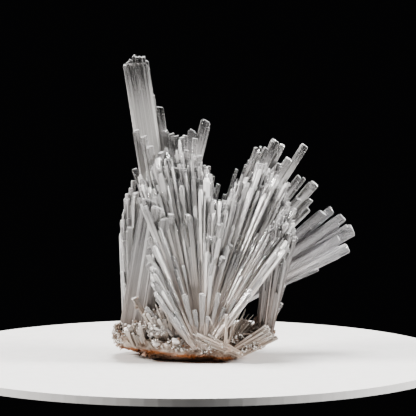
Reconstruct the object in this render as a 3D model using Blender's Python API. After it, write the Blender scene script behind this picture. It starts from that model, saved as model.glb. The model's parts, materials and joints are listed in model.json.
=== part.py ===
"""Scolecite: sprays of slender glassy prisms that radiate from a fused, rust-stained crust.

The origin is on the flat spot that the crust rests on, below the root of the main spray.
+Z is up, +X is to the right seen from the front, and the front faces -Y. Places and sizes
are in millimetres, and become metres where a mesh is made.
"""

import math
import random
from dataclasses import dataclass

import bmesh
import bpy
from mathutils import Matrix, Vector, noise

MM = 0.001

# The specimen stands 79 mm tall, 65 mm wide and 33 mm deep
SPRAY_CENTRE = Vector((0.0, 0.5, 7.5))
SIDE_CENTRE = Vector((1.0, 3.5, 8.0))
CORNER_CENTRE = Vector((20.0, -6.0, 5.5))
LEFT_CENTRE = Vector((-14.8, -3.2, 5.0))

# Heights at which the bundles of crystals stand on the crust, and the space left between solids
SPRAY_SEAT = 6.6
CORNER_SEAT = 7.2
LEFT_SEAT = 8.4
GAP = 0.3
# A heart is made this far below its seat, and then cut level there
SEAT_DEPTH = 0.6
# The room left for a bundle is wider than its heart by this many degrees on each side, longer
# by this factor, and has this many sides
MARGIN = 3
ROOM_REACH = 1.5
ROOM_SIDES = 16
# A heart's upper rim is ragged by this share of its reach, and its crown stands above it
RAGGED = 0.14
CROWN = 1.05

# The main spray forks at the notch, and again where the coarse side crystals lean away
NOTCH_LEAN = 14.8
SIDE_LEAN = 49.0

# A crystal's cut corners, the height of its low point, and how much narrower it starts
CORNER_CUT = 0.30
POINT_RISE = 0.42
FOOT_SHARE = 0.8

# The crust in plan: its middle, and its radius at directions in degrees anticlockwise from +X
CRUST_MIDDLE = Vector((1.5, 0.0, 0.0))
CRUST_RADII = [
    (0, 21.0), (25, 18.5), (50, 15.0), (90, 12.5), (130, 15.5), (160, 19.5), (180, 21.0),
    (205, 19.5), (230, 16.8), (270, 13.2), (300, 15.2), (325, 18.0), (345, 20.0), (360, 21.0),
]
# How high its lower rim is above the ground, from its left end to its right end
CRUST_RIM = [(-20, 1.2), (-15, 2.8), (-6, 2.2), (4, 1.2), (12, 0.5), (17, 1.8), (23, 5.4)]
# Its rings from the flat spot over the rim to the top: share of the radius, share of the rise
CRUST_RINGS = [
    (0.60, None), (0.90, 0.0), (1.0, 0.25), (0.98, 0.6), (0.86, 0.9), (0.6, 1.0), (0.3, 1.0),
]
CRUST_TOP = 7.0
CRUST_SIDES = 28
CRUST_ROUGHNESS = 1.2


@dataclass(frozen=True)
class Prism:
    """One crystal, from the middle of its foot to its point."""

    tip: tuple
    foot: tuple
    width: float
    flat: float = 0.85
    turn: float = 20.0
    sides: int = 4


def direction(lean, tilt):
    """The direction that leans to the right and towards the front by these angles in degrees."""
    return Vector((math.tan(math.radians(lean)), -math.tan(math.radians(tilt)), 1.0)).normalized()


def radial(centre, start, tip, width, **more):
    """A prism that points away from centre and begins at that distance from it."""
    along = (Vector(tip) - centre).normalized()
    return Prism(tuple(tip), tuple(centre + along * start), width, **more)


def leaning(tip, lean, tilt, length, width, **more):
    """A prism known by its point, its two angles and its length."""
    return Prism(tuple(tip), tuple(Vector(tip) - direction(lean, tilt) * length), width, **more)


def between(points, at):
    """The value at a place, read in a straight line between hand-set points."""
    if at <= points[0][0]:
        return points[0][1]
    for (a, low), (b, high) in zip(points, points[1:]):
        if at <= b:
            return low + (high - low) * (at - a) / (b - a)
    return points[-1][1]


def section(prism):
    """The outline across a crystal: four sides, or eight where its corners are cut."""
    half = prism.width / 2
    corners = [(1, 1)] if prism.sides == 4 else [(1, 1 - CORNER_CUT), (1 - CORNER_CUT, 1)]
    points = []
    for quarter in range(4):
        turn = Matrix.Rotation(math.pi / 2 * quarter, 2)
        for corner in corners:
            x, y = turn @ Vector(corner)
            points.append(Vector((x * half, y * half * prism.flat, 0.0)))
    return points


def add_prism(bm, prism):
    """Adds one closed crystal to bm: a straight column with a low point a little off its axis."""
    foot, tip = Vector(prism.foot), Vector(prism.tip)
    length = (tip - foot).length
    turn = Matrix.Rotation(math.radians(prism.turn), 3, "Z")
    place = (tip - foot).to_track_quat("Z", "Y").to_matrix() @ turn
    rise = min(prism.width * POINT_RISE, length * 0.4)
    rings = []
    for height, size in ((0.0, FOOT_SHARE), (length - rise, 1.0)):
        corners = [point * size + Vector((0, 0, height)) for point in section(prism)]
        rings.append([bm.verts.new((foot + place @ corner) * MM) for corner in corners])
    lower, upper = rings
    off_axis = Vector((prism.width * 0.12, prism.width * 0.08, length))
    point = bm.verts.new((foot + place @ off_axis) * MM)
    bm.faces.new(list(reversed(lower)))
    for i in range(len(lower)):
        j = (i + 1) % len(lower)
        bm.faces.new((lower[i], lower[j], upper[j], upper[i]))
        bm.faces.new((upper[i], upper[j], point))


def mesh_object(name, bm):
    """A new object in the scene with bm as its mesh, its faces pointing out."""
    bmesh.ops.recalc_face_normals(bm, faces=bm.faces)
    mesh = bpy.data.meshes.new(name)
    bm.to_mesh(mesh)
    bm.free()
    made = bpy.data.objects.new(name, mesh)
    bpy.context.scene.collection.objects.link(made)
    return made


def crystals_object(prisms):
    """All the prisms in one object, still overlapping."""
    bm = bmesh.new()
    for prism in prisms:
        add_prism(bm, prism)
    return mesh_object("crystals", bm)


def combine(target, other, operation, own_overlaps=False):
    """Joins other to target, or cuts it away, and removes other."""
    step = target.modifiers.new("combine", "BOOLEAN")
    step.operation = operation
    step.solver = "EXACT"
    step.use_self = own_overlaps
    step.object = other
    graph = bpy.context.evaluated_depsgraph_get()
    made = bpy.data.meshes.new_from_object(target.evaluated_get(graph))
    target.modifiers.clear()
    target.data = made
    bpy.data.objects.remove(other)


def keep_main_body(obj):
    """Deletes crumbs that a cut has left beside the main body."""
    bm = bmesh.new()
    bm.from_mesh(obj.data)
    unseen = set(bm.verts)
    islands = []
    while unseen:
        queue = [unseen.pop()]
        island = list(queue)
        while queue:
            for edge in queue.pop().link_edges:
                for vert in edge.verts:
                    if vert in unseen:
                        unseen.remove(vert)
                        island.append(vert)
                        queue.append(vert)
        islands.append(island)
    islands.sort(key=len)
    crumbs = [vert for island in islands[:-1] for vert in island]
    bmesh.ops.delete(bm, geom=crumbs, context="VERTS")
    bm.to_mesh(obj.data)
    bm.free()


def block(low, high, lean=0.0, about=Vector((0, 0, 0))):
    """A closed box between two corners, then leant to the right about a point, to cut with."""
    bm = bmesh.new()
    middle = (Vector(low) + Vector(high)) / 2
    size = Vector(high) - Vector(low)
    leant = Matrix.Translation(about * MM) @ Matrix.Rotation(math.radians(lean), 4, "Y")
    place = leant @ Matrix.Translation(middle * MM) @ Matrix.Diagonal((*(size * MM), 1.0))
    bmesh.ops.create_cube(bm, size=1.0, matrix=place)
    return mesh_object("cutter", bm)


def cut_right_of(obj, lean, about):
    """Cuts away what lies to the right of a plane that leans by that angle."""
    cutter = block((-GAP / 2, -90, -90), (90, 90, 120), lean, about)
    combine(obj, cutter, "DIFFERENCE")


def cut_left_of(obj, lean, about):
    """Cuts away what lies to the left of a plane that leans by that angle."""
    cutter = block((-90, -90, -90), (GAP / 2, 90, 120), lean, about)
    combine(obj, cutter, "DIFFERENCE")


@dataclass(frozen=True)
class Core:
    """The grown-together heart of a bundle: a fan that widens upwards from its foot."""

    centre: Vector
    seat: float
    foot: tuple
    leans: tuple
    tilts: tuple
    reach: float
    ridges: int
    seed: int
    flute: float = 0.9

    def along(self, around, share):
        """The direction of the fan's edge at an angle around it."""
        lean = (self.leans[0] + self.leans[1]) / 2
        tilt = (self.tilts[0] + self.tilts[1]) / 2
        lean += (self.leans[1] - self.leans[0]) / 2 * math.cos(around) * share
        tilt += (self.tilts[1] - self.tilts[0]) / 2 * math.sin(around) * share
        return direction(lean, tilt)

    def build(self, name):
        """The heart as a closed object, its flanks ridged like crystals side by side."""
        draw = random.Random(self.seed)
        bm = bmesh.new()
        foot, middle, rim = [], [], []
        for i in range(self.ridges):
            around = 2 * math.pi * i / self.ridges
            share = 1.0 if i % 2 else self.flute
            across = self.foot[0] * math.cos(around) * share
            deep = -self.foot[1] * math.sin(around) * share
            low = Vector((self.centre.x + across, self.centre.y + deep, self.seat - SEAT_DEPTH))
            reach = self.reach * (1 - RAGGED * draw.random())
            high = self.centre + self.along(around, share) * reach
            foot.append(bm.verts.new(low * MM))
            middle.append(bm.verts.new((low.lerp(high, 0.5)) * MM))
            rim.append(bm.verts.new(high * MM))
        crown = bm.verts.new((self.centre + self.along(0.0, 0.0) * self.reach * CROWN) * MM)
        bm.faces.new(foot)
        for lower, upper in ((foot, middle), (middle, rim)):
            for i in range(self.ridges):
                j = (i + 1) % self.ridges
                bm.faces.new((lower[i], lower[j], upper[j], upper[i]))
        for i in range(self.ridges):
            bm.faces.new((rim[i], rim[(i + 1) % self.ridges], crown))
        # The quads of a fluted fan aren't flat, and a Boolean needs faces that are
        bmesh.ops.triangulate(bm, faces=bm.faces)
        return mesh_object(name, bm)

    def clearance(self):
        """The plain space that the bundle takes up, a little larger than its heart, to cut with."""
        larger = Core(
            self.centre,
            self.seat - GAP + SEAT_DEPTH,
            (self.foot[0] + 2 * GAP, self.foot[1] + 2 * GAP),
            (self.leans[0] - MARGIN, self.leans[1] + MARGIN),
            (self.tilts[0] - MARGIN, self.tilts[1] + MARGIN),
            self.reach * ROOM_REACH,
            ROOM_SIDES,
            self.seed,
            1.0,
        )
        return larger.build("cutter")


TOWER_CORE = Core(SPRAY_CENTRE, SPRAY_SEAT, (10.5, 9.5), (-22, 26), (-22, 24), 30, 30, 3)
FAN_CORE = Core(SPRAY_CENTRE, SPRAY_SEAT + 0.2, (9.0, 9.0), (0, 52), (-18, 22), 32, 28, 4)
SIDE_CORE = Core(SIDE_CENTRE, 9.5, (6.0, 3.5), (40, 66), (-14, 0), 27, 14, 5)
CORNER_CORE = Core(CORNER_CENTRE, CORNER_SEAT, (2.8, 2.8), (0, 15), (-8, 13), 20, 14, 6)
LEFT_CORE = Core(LEFT_CENTRE, LEFT_SEAT, (3.2, 4.0), (-5, 7), (-5, 10), 22, 14, 7)

# The main spray's silhouette: how far it reaches from its centre at each lean
SPRAY_REACH = [
    (-22, 36), (-16, 44), (-8, 48), (2, 48), (8, 42), (12.5, 36), (15, 36), (19, 45),
    (27, 50), (34, 48), (42, 42), (50, 36),
]


def fillers(core, start, leans, tilts, rows, columns, widths, shares, seed):
    """Crystals between the hand-placed ones, spread over the fan with a little disorder."""
    draw = random.Random(seed)
    found = []
    for row in range(rows):
        step = (tilts[1] - tilts[0]) / rows
        for column in range(columns):
            tilt = tilts[0] + step * (row + 0.5 + draw.uniform(-0.35, 0.35))
            share = (column + 0.5 + draw.uniform(-0.3, 0.3)) / columns
            lean = leans[0] + (leans[1] - leans[0]) * share
            falloff = math.cos(math.radians(tilt)) ** 2.2
            reach = between(SPRAY_REACH, lean) * falloff * draw.uniform(*shares)
            tip = core.centre + direction(lean, tilt) * reach
            width = draw.uniform(*widths)
            found.append(radial(core.centre, start, tip, width, turn=draw.uniform(0, 90)))
    return found


def tower_prisms():
    """The tall left half of the spray, with the one crystal that stands far above the rest."""
    c = SPRAY_CENTRE
    return [
        Prism((-14.0, 4.0, 79.2), (-5.4, 2.2, 20.0), 5.4, flat=0.8, turn=10, sides=8),
        Prism((-16.0, 3.0, 77.0), (-7.0, 1.4, 19.0), 3.0, flat=0.9, turn=26, sides=8),
        Prism((-11.6, 3.6, 78.6), (-3.2, 2.0, 20.0), 2.8, flat=0.9, turn=5),
        radial(c, 12, (-7.4, 3.0, 65.3), 2.0, turn=8),
        radial(c, 12, (-6.0, 2.5, 59.1), 2.1, turn=5),
        radial(c, 12, (-4.4, 2.0, 58.4), 1.9, turn=12),
        radial(c, 12, (-3.1, 2.0, 57.8), 1.8, turn=3),
        radial(c, 12, (-1.6, 1.5, 57.4), 1.5, turn=22),
        radial(c, 12, (-0.8, 2.6, 57.8), 1.6, turn=30),
        leaning((-13.5, -1.0, 59.5), -9.0, 1, 38, 2.0, turn=10),
        leaning((-11.4, -2.0, 58.0), -9.5, 2, 36, 1.7, turn=20),
        leaning((-9.9, -3.0, 55.5), -9.0, 4, 36, 2.2, turn=12),
        radial(c, 14, (-7.0, -3.0, 53.9), 1.9, turn=35),
        radial(c, 14, (-5.2, -4.0, 52.4), 1.7, turn=15),
        radial(c, 14, (-3.4, -5.0, 50.2), 2.0, turn=4),
        radial(c, 14, (-8.1, -4.5, 48.8), 1.5, turn=50),
        radial(c, 14, (-10.2, -3.0, 45.7), 1.7, turn=22),
        radial(c, 14, (-5.2, -7.0, 44.4), 1.8, turn=10),
        radial(c, 14, (-2.6, -7.0, 42.8), 1.6, turn=65),
        radial(c, 14, (-4.4, -9.6, 38.6), 2.1, turn=18),
        radial(c, 14, (0.0, -9.6, 38.3), 1.7, turn=40),
        radial(c, 12, (1.8, -0.5, 57.3), 1.5, turn=25),
        radial(c, 12, (-0.3, -1.5, 54.3), 1.4, turn=44),
        radial(c, 12, (2.9, 0.3, 52.8), 1.9, turn=15),
        radial(c, 12, (1.6, -3.0, 51.8), 1.6, turn=33),
        leaning((1.2, 9.0, 58.7), 14, -9, 40, 2.3, turn=22, sides=8),
        leaning((4.7, 10.5, 61.1), 14, -9, 44, 2.8, turn=30, sides=8),
        radial(c, 14, (4.2, -1.0, 50.3), 1.1, turn=15),
        radial(c, 14, (3.6, -2.0, 47.3), 1.5, turn=60),
        radial(c, 14, (5.5, 0.2, 49.9), 1.0, turn=20),
        radial(c, 14, (6.5, 0.4, 47.3), 1.2, turn=12),
        radial(c, 14, (8.0, 1.2, 45.2), 1.3, turn=35),
        radial(c, 12, (-14.0, 1.4, 49.1), 1.7, turn=15),
        radial(c, 12, (-12.4, 6.0, 53.0), 2.2, turn=24),
        radial(c, 12, (-6.0, 9.0, 53.5), 2.4, turn=52),
        radial(c, 12, (-10.0, 11.5, 44.0), 2.0, turn=12),
        radial(c, 12, (-2.0, 15.0, 46.0), 2.3, turn=33),
        radial(c, 12, (3.0, 17.0, 40.0), 2.0, turn=61),
        radial(c, 12, (-8.0, 16.0, 36.0), 2.1, turn=5),
    ]


def fan_prisms():
    """The right half of the spray, fine at the notch and coarser towards the side."""
    c = SPRAY_CENTRE
    return [
        radial(c, 14, (9.6, -0.4, 42.6), 1.1, turn=30),
        radial(c, 14, (11.0, 0.2, 43.7), 1.2, turn=10),
        radial(c, 14, (12.7, -0.5, 49.2), 0.9, turn=10),
        radial(c, 14, (12.7, 0.8, 45.4), 1.1, turn=50),
        radial(c, 14, (15.3, 0.2, 50.2), 1.2, turn=25),
        radial(c, 14, (16.1, 1.4, 51.4), 1.1, turn=5),
        radial(c, 14, (17.7, -0.4, 54.9), 0.9, turn=30),
        radial(c, 14, (19.0, 1.2, 55.0), 0.9, turn=60),
        radial(c, 12, (18.5, 0.4, 53.6), 1.4, turn=12),
        radial(c, 12, (20.5, 0.8, 54.6), 1.9, turn=28),
        radial(c, 12, (22.9, 1.6, 56.6), 2.5, turn=20, sides=8),
        radial(c, 12, (24.7, 2.6, 55.4), 1.8, turn=40),
        radial(c, 14, (23.9, -1.8, 50.9), 1.8, turn=14),
        radial(c, 12, (26.3, 1.2, 51.9), 2.0, turn=33),
        radial(c, 12, (30.6, 3.4, 55.1), 2.3, turn=22, sides=8),
        radial(c, 12, (29.1, 1.6, 47.2), 1.7, turn=16),
        radial(c, 12, (30.4, 3.0, 46.5), 1.3, turn=48),
        radial(c, 12, (33.3, 3.6, 45.2), 2.6, turn=26, sides=8),
        radial(c, 12, (28.9, 1.6, 41.3), 2.0, turn=38),
        radial(c, 12, (32.2, 3.0, 41.0), 1.8, turn=8),
        radial(c, 12, (31.5, 1.8, 38.6), 1.9, turn=55),
        radial(c, 14, (17.4, -5.0, 45.4), 1.6, turn=18),
        radial(c, 14, (13.2, -6.4, 41.4), 1.7, turn=42),
        radial(c, 14, (19.6, -4.0, 42.6), 1.8, turn=27),
        radial(c, 14, (9.8, -9.4, 37.0), 1.6, turn=12),
        radial(c, 14, (13.4, -9.8, 33.2), 1.8, turn=36),
        radial(c, 14, (6.0, -11.6, 32.8), 1.8, turn=21),
        radial(c, 14, (11.4, -7.4, 41.2), 1.5, turn=50),
        radial(c, 14, (14.8, -5.6, 44.0), 1.5, turn=24),
        radial(c, 14, (20.6, -2.6, 48.4), 1.6, turn=63),
        radial(c, 14, (23.4, -1.4, 45.8), 1.7, turn=12),
        radial(c, 14, (8.0, -11.2, 36.0), 1.6, turn=33),
        radial(c, 14, (11.2, -10.8, 30.6), 1.7, turn=7),
        radial(c, 14, (25.6, 8.6, 47.4), 2.2, turn=31),
        radial(c, 14, (18.6, 10.8, 47.4), 2.0, turn=9),
        radial(c, 14, (13.4, 13.4, 43.0), 2.1, turn=44),
        radial(c, 14, (22.0, 14.4, 38.0), 2.3, turn=17),
        radial(c, 14, (27.6, 11.0, 36.0), 2.2, turn=52),
        radial(c, 14, (15.6, -9.4, 29.4), 1.7, turn=20),
        radial(c, 14, (17.0, -8.0, 33.8), 1.8, turn=47),
        radial(c, 14, (12.6, -11.2, 25.8), 1.6, turn=9),
        radial(c, 14, (9.2, -12.4, 27.6), 1.7, turn=34),
    ]


def side_prisms():
    """The coarse glassy crystals that lean far out to the right, low at the back."""
    c = SIDE_CENTRE
    return [
        radial(c, 10, (35.6, 6.4, 37.2), 2.7, turn=40, sides=8),
        radial(c, 10, (38.0, 9.2, 37.7), 2.5, turn=15, sides=8),
        radial(c, 10, (40.8, 6.2, 36.0), 2.8, turn=28, sides=8),
        radial(c, 10, (39.3, 9.8, 34.5), 3.0, turn=8, sides=8),
        radial(c, 10, (44.6, 7.8, 33.4), 3.4, turn=36, sides=8),
        radial(c, 10, (39.5, 5.4, 30.5), 2.4, turn=20, sides=8),
        radial(c, 10, (42.1, 6.6, 27.8), 3.0, turn=32, sides=8),
        radial(c, 10, (34.1, 4.8, 22.3), 1.2, turn=12),
        radial(c, 10, (36.4, 10.6, 29.0), 2.6, turn=48, sides=8),
        radial(c, 10, (31.0, 9.0, 22.6), 2.0, turn=22),
    ]


def corner_prisms():
    """The low sheaf with a root of its own at the right end of the crust."""
    c = CORNER_CENTRE
    tips = [
        (19.6, -6.0, 31.2), (19.4, -6.4, 25.6), (20.0, -7.4, 35.2), (21.0, -6.4, 37.8),
        (22.2, -7.6, 39.8), (23.8, -6.0, 39.2), (25.4, -6.6, 38.4), (27.0, -5.4, 36.4),
        (27.6, -6.4, 32.4), (26.8, -5.0, 27.4), (20.6, -9.8, 28.8), (22.2, -10.6, 32.0),
        (24.2, -10.0, 34.2), (25.6, -9.0, 30.0), (21.8, -3.8, 32.4), (25.0, -3.4, 31.8),
    ]
    found = [
        radial(c, 5.0, tip, 1.5 + 0.3 * (i % 3), turn=17.0 * i % 90) for i, tip in enumerate(tips)
    ]
    found.append(leaning((25.0, -4.6, 19.3), 17, 2, 9.0, 0.9, turn=20))
    found.append(leaning((24.4, -4.0, 14.5), 28, 2, 5.0, 1.0, turn=40))
    return found


BLADES = [
    Prism((-8.6, -9.0, 42.3), (-15.2, -6.8, 9.0), 6.2, flat=0.4, turn=-6, sides=8),
    Prism((-5.6, -9.6, 38.0), (-11.6, -7.8, 9.0), 4.2, flat=0.55, turn=8),
]


def left_prisms():
    """The group of its own at the left end: two broad blades over a few white crystals."""
    c = LEFT_CENTRE
    tips = [
        (-14.8, -1.6, 44.4, 1.4), (-14.2, -0.6, 46.2, 1.3), (-15.6, -2.8, 43.0, 1.5),
        (-16.1, -2.6, 41.8, 1.4), (-16.4, -3.4, 38.3, 1.7), (-16.6, -4.2, 31.0, 1.6),
        (-13.4, -4.6, 43.6, 1.8), (-17.0, -4.6, 23.0, 1.5), (-15.0, -5.4, 34.6, 2.0),
        (-16.2, -0.4, 33.0, 1.7), (-12.8, -2.0, 38.0, 1.8),
    ]
    return BLADES + [
        radial(c, 4.5, tip[:3], tip[3], turn=23.0 * i % 90) for i, tip in enumerate(tips)
    ]


def lump(bm, middle, radii, seed):
    """Adds a rounded, uneven knob to bm."""
    made = bmesh.ops.create_icosphere(bm, subdivisions=2, radius=1.0)
    for vert in made["verts"]:
        bulge = 1.0 + 0.28 * noise.noise(vert.co * 1.3 + Vector((seed * 7.1, 0, 0)))
        spread = Vector(radii) * bulge
        vert.co = (Vector(middle) + Vector([a * b for a, b in zip(vert.co, spread)])) * MM


# Knobs that the crust is swollen by: middle, then half-sizes
LUMPS = [
    ((-14.6, -6.6, 6.6), (4.6, 4.2, 4.2)), ((-11.0, -9.2, 5.2), (3.6, 3.2, 3.2)),
    ((-17.0, -2.0, 5.6), (3.0, 4.0, 3.4)), ((-5.2, -11.0, 4.6), (3.2, 2.4, 2.8)),
    ((-13.6, 4.6, 5.8), (4.2, 4.6, 3.4)), ((-4.0, 9.6, 5.2), (4.6, 3.2, 3.4)),
    ((6.0, 9.4, 4.8), (4.2, 3.0, 3.2)), ((13.8, 5.6, 5.4), (4.2, 4.0, 3.4)),
    ((3.4, -11.4, 3.4), (3.2, 2.2, 2.4)), ((19.6, -4.4, 6.0), (3.4, 3.4, 2.2)),
]

# Crystals that lie on the crust or lean against it
LYING = [
    Prism((1.4, -12.4, 7.6), (13.4, -14.0, 2.2), 1.9, flat=0.6, turn=30),
    Prism((19.0, -12.2, 4.4), (9.0, -13.0, 2.6), 1.6, flat=0.7, turn=10),
    Prism((9.9, -14.0, 12.6), (9.6, -13.0, 2.6), 0.8, turn=15),
    Prism((21.6, -8.0, 6.6), (9.0, -7.0, 6.0), 1.7, turn=25),
    Prism((21.0, -6.8, 8.8), (8.6, -5.4, 6.4), 1.5, turn=55),
    Prism((20.4, -9.0, 4.6), (9.8, -9.2, 4.2), 1.8, turn=5),
    Prism((-14.0, -12.0, 17.0), (-8.4, -9.6, 8.0), 1.5, turn=20),
    Prism((-9.2, -13.2, 5.4), (-3.4, -11.0, 4.4), 1.7, turn=40),
    Prism((-3.0, -13.8, 6.4), (-3.8, -9.8, 3.4), 2.4, turn=20),
    Prism((-18.6, -6.2, 5.2), (-13.0, -5.0, 5.0), 2.0, turn=15),
]

# The neck at the front where the spray's lowest crystals come together, and their tips and widths
NECK = Vector((3.6, -10.4, -1.5))
SKIRT = [
    (-10.8, -13.0, 14.6, 1.7), (-7.9, -13.3, 17.0, 1.8), (-5.6, -13.8, 19.0, 1.9),
    (-2.8, -13.2, 13.4, 1.6), (-1.0, -14.2, 18.2, 2.0), (1.7, -13.4, 14.0, 1.7),
    (3.6, -14.6, 19.0, 2.1), (5.2, -13.4, 12.4, 1.8), (8.0, -14.2, 18.6, 1.9),
    (9.4, -13.2, 14.6, 1.7), (12.2, -13.5, 16.8, 1.6),
]
# How far from the neck they begin
SKIRT_START = 5.0

# Tufts of short crystals on the crust: root, how many, how long
TUFTS = [
    ((-7.9, -10.2, 7.4), 4, 3.4), ((-17.4, 3.0, 6.0), 4, 3.0), ((8.0, 11.0, 5.0), 4, 4.4),
    ((-8.6, 10.4, 5.6), 5, 4.8), ((17.6, 4.6, 5.6), 4, 5.0), ((-1.0, 12.0, 4.6), 4, 4.0),
]


def tuft(root, count, length, seed):
    """A few short crystals that spread up and out from one spot on the crust."""
    draw = random.Random(seed)
    out = (Vector(root) - Vector((CRUST_MIDDLE.x, 0.0, root[2]))).normalized()
    found = []
    for _ in range(count):
        spread = Vector((draw.uniform(-0.8, 0.8), draw.uniform(-0.8, 0.8), draw.uniform(0.5, 1.3)))
        away = (out * draw.uniform(0.2, 1.3) + spread).normalized()
        tip = Vector(root) + away * length * draw.uniform(0.7, 1.25)
        foot = Vector(root) - away * 2.0
        width = draw.uniform(0.8, 1.3)
        found.append(Prism(tuple(tip), tuple(foot), width, turn=draw.uniform(0, 90)))
    return found


def uneven(place):
    """A smooth random shift that depends on the place alone."""
    return Vector([noise.noise(place + Vector((0, 0, apart))) for apart in (0.0, 31.7, 63.1)])


def crust_body():
    """The crust without its knobs: a low loaf with a raised rim round its flat spot."""
    bm = bmesh.new()
    rings = []
    for share, rise in CRUST_RINGS:
        ring = []
        for i in range(CRUST_SIDES):
            around = 360.0 * i / CRUST_SIDES
            heading = Vector((math.cos(math.radians(around)), math.sin(math.radians(around)), 0))
            place = CRUST_MIDDLE + heading * between(CRUST_RADII, around) * share
            if rise is not None:
                rim = between(CRUST_RIM, place.x)
                place.z = rim + (CRUST_TOP - rim) * rise
                place += (uneven(place * 0.22) + uneven(place * 0.55) * 0.5) * CRUST_ROUGHNESS
                place.z = max(place.z, 0.25)
            ring.append(bm.verts.new(place * MM))
        rings.append(ring)
    bm.faces.new(rings[0])
    for lower, upper in zip(rings, rings[1:]):
        for i in range(CRUST_SIDES):
            j = (i + 1) % CRUST_SIDES
            bm.faces.new((lower[i], lower[j], upper[j], upper[i]))
    crown = bm.verts.new((CRUST_MIDDLE + Vector((0, 0, CRUST_TOP))) * MM)
    for i in range(CRUST_SIDES):
        bm.faces.new((rings[-1][i], rings[-1][(i + 1) % CRUST_SIDES], crown))
    bmesh.ops.triangulate(bm, faces=bm.faces)
    return mesh_object("matrix_crust", bm)


def blade_clearance(lowest):
    """The space round the two broad blades, down to a height, to cut with."""
    room = 3 * GAP
    bm = bmesh.new()
    for prism in BLADES:
        along = (Vector(prism.tip) - Vector(prism.foot)).normalized()
        wide = (prism.width + room) / FOOT_SHARE
        deep = (prism.width * prism.flat + room) / FOOT_SHARE
        tip = tuple(Vector(prism.tip) + along * 1.5)
        foot = tuple(Vector(prism.foot) - along * 3.0)
        add_prism(bm, Prism(tip, foot, wide, deep / wide, prism.turn, prism.sides))
    space = mesh_object("cutter", bm)
    combine(space, block((-60, -60, -40), (60, 60, lowest)), "DIFFERENCE", own_overlaps=True)
    return space


def build_crust():
    """The crust with its knobs, lying crystals and tufts, and the seats of the bundles."""
    crust = crust_body()
    bm = bmesh.new()
    for i, (middle, radii) in enumerate(LUMPS):
        lump(bm, middle, radii, i)
    skirt = [
        radial(NECK, SKIRT_START, tip[:3], tip[3], turn=31.0 * i % 90)
        for i, tip in enumerate(SKIRT)
    ]
    for prism in LYING + skirt:
        add_prism(bm, prism)
    for i, (root, count, length) in enumerate(TUFTS):
        for prism in tuft(root, count, length, 40 + i):
            add_prism(bm, prism)
    combine(crust, mesh_object("growths", bm), "UNION", own_overlaps=True)
    combine(crust, block((-60, -60, -40), (60, 60, 0)), "DIFFERENCE")
    pit = bmesh.new()
    lump(pit, (-6.4, -12.6, 7.2), (1.7, 3.0, 1.7), 77)
    combine(crust, mesh_object("cutter", pit), "DIFFERENCE")
    for core in (TOWER_CORE, FAN_CORE, CORNER_CORE, LEFT_CORE):
        combine(crust, core.clearance(), "DIFFERENCE")
    combine(crust, blade_clearance(LEFT_SEAT - 2 * GAP), "DIFFERENCE")
    return crust


def build_bundle(name, core, prisms):
    """A bundle of crystals and its heart joined into one body, cut off level at its seat."""
    bundle = core.build(name)
    combine(bundle, crystals_object(prisms), "UNION", own_overlaps=True)
    combine(bundle, block((-90, -90, -60), (90, 90, core.seat)), "DIFFERENCE")
    return bundle


def build_tower():
    """The left half of the main spray."""
    filling = fillers(TOWER_CORE, 15, (-17, 13), (-30, 30), 6, 6, (1.5, 2.4), (0.62, 0.93), 11)
    tower = build_bundle("tower_spray", TOWER_CORE, tower_prisms() + filling)
    cut_right_of(tower, NOTCH_LEAN, SPRAY_CENTRE)
    combine(tower, LEFT_CORE.clearance(), "DIFFERENCE")
    combine(tower, blade_clearance(LEFT_SEAT - 2 * GAP), "DIFFERENCE")
    return tower


def build_fan():
    """The right half of the main spray."""
    filling = fillers(FAN_CORE, 15, (17, 46), (-30, 24), 6, 6, (1.4, 2.3), (0.62, 0.9), 12)
    clear = [prism for prism in filling if prism.tip[0] < 15 or prism.tip[1] > -3.5]
    fan = build_bundle("fan_spray", FAN_CORE, fan_prisms() + clear)
    cut_left_of(fan, NOTCH_LEAN, SPRAY_CENTRE)
    cut_right_of(fan, SIDE_LEAN, SPRAY_CENTRE)
    combine(fan, CORNER_CORE.clearance(), "DIFFERENCE")
    return fan


def build_side():
    """The coarse clear crystals that lean out to the right."""
    side = build_bundle("side_prisms", SIDE_CORE, side_prisms())
    cut_left_of(side, SIDE_LEAN, SPRAY_CENTRE)
    combine(side, CORNER_CORE.clearance(), "DIFFERENCE")
    return side


@dataclass(frozen=True)
class Finish:
    """A material's name, colour, roughness and how much light passes through it."""

    name: str
    colour: tuple
    roughness: float
    clearness: float

    def material(self):
        """The finish as a Principled material."""
        made = bpy.data.materials.new(self.name)
        made.use_nodes = True
        shader = made.node_tree.nodes["Principled BSDF"]
        shader.inputs["Base Color"].default_value = (*self.colour, 1.0)
        shader.inputs["Roughness"].default_value = self.roughness
        shader.inputs["Metallic"].default_value = 0.0
        shader.inputs["IOR"].default_value = 1.52
        shader.inputs["Transmission Weight"].default_value = self.clearness
        return made


def main():
    """Builds every piece and gives it its finish."""
    for old in list(bpy.data.objects):
        bpy.data.objects.remove(old)
    corner = build_bundle("corner_sheaf", CORNER_CORE, corner_prisms())
    left = build_bundle("left_group", LEFT_CORE, left_prisms())
    pieces = [
        (build_crust(), Finish("crust_stone", (0.55, 0.43, 0.34), 0.85, 0.0)),
        (build_tower(), Finish("tower_crystal", (0.82, 0.80, 0.80), 0.12, 0.6)),
        (build_fan(), Finish("fan_crystal", (0.84, 0.82, 0.80), 0.12, 0.6)),
        (build_side(), Finish("side_crystal", (0.82, 0.80, 0.83), 0.08, 0.85)),
        (corner, Finish("corner_crystal", (0.84, 0.79, 0.75), 0.16, 0.5)),
        (left, Finish("left_crystal", (0.86, 0.83, 0.81), 0.14, 0.5)),
    ]
    for piece, finish in pieces:
        keep_main_body(piece)
        piece.data.materials.clear()
        piece.data.materials.append(finish.material())
        print(piece.name, sum(len(face.vertices) - 2 for face in piece.data.polygons))


main()
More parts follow.
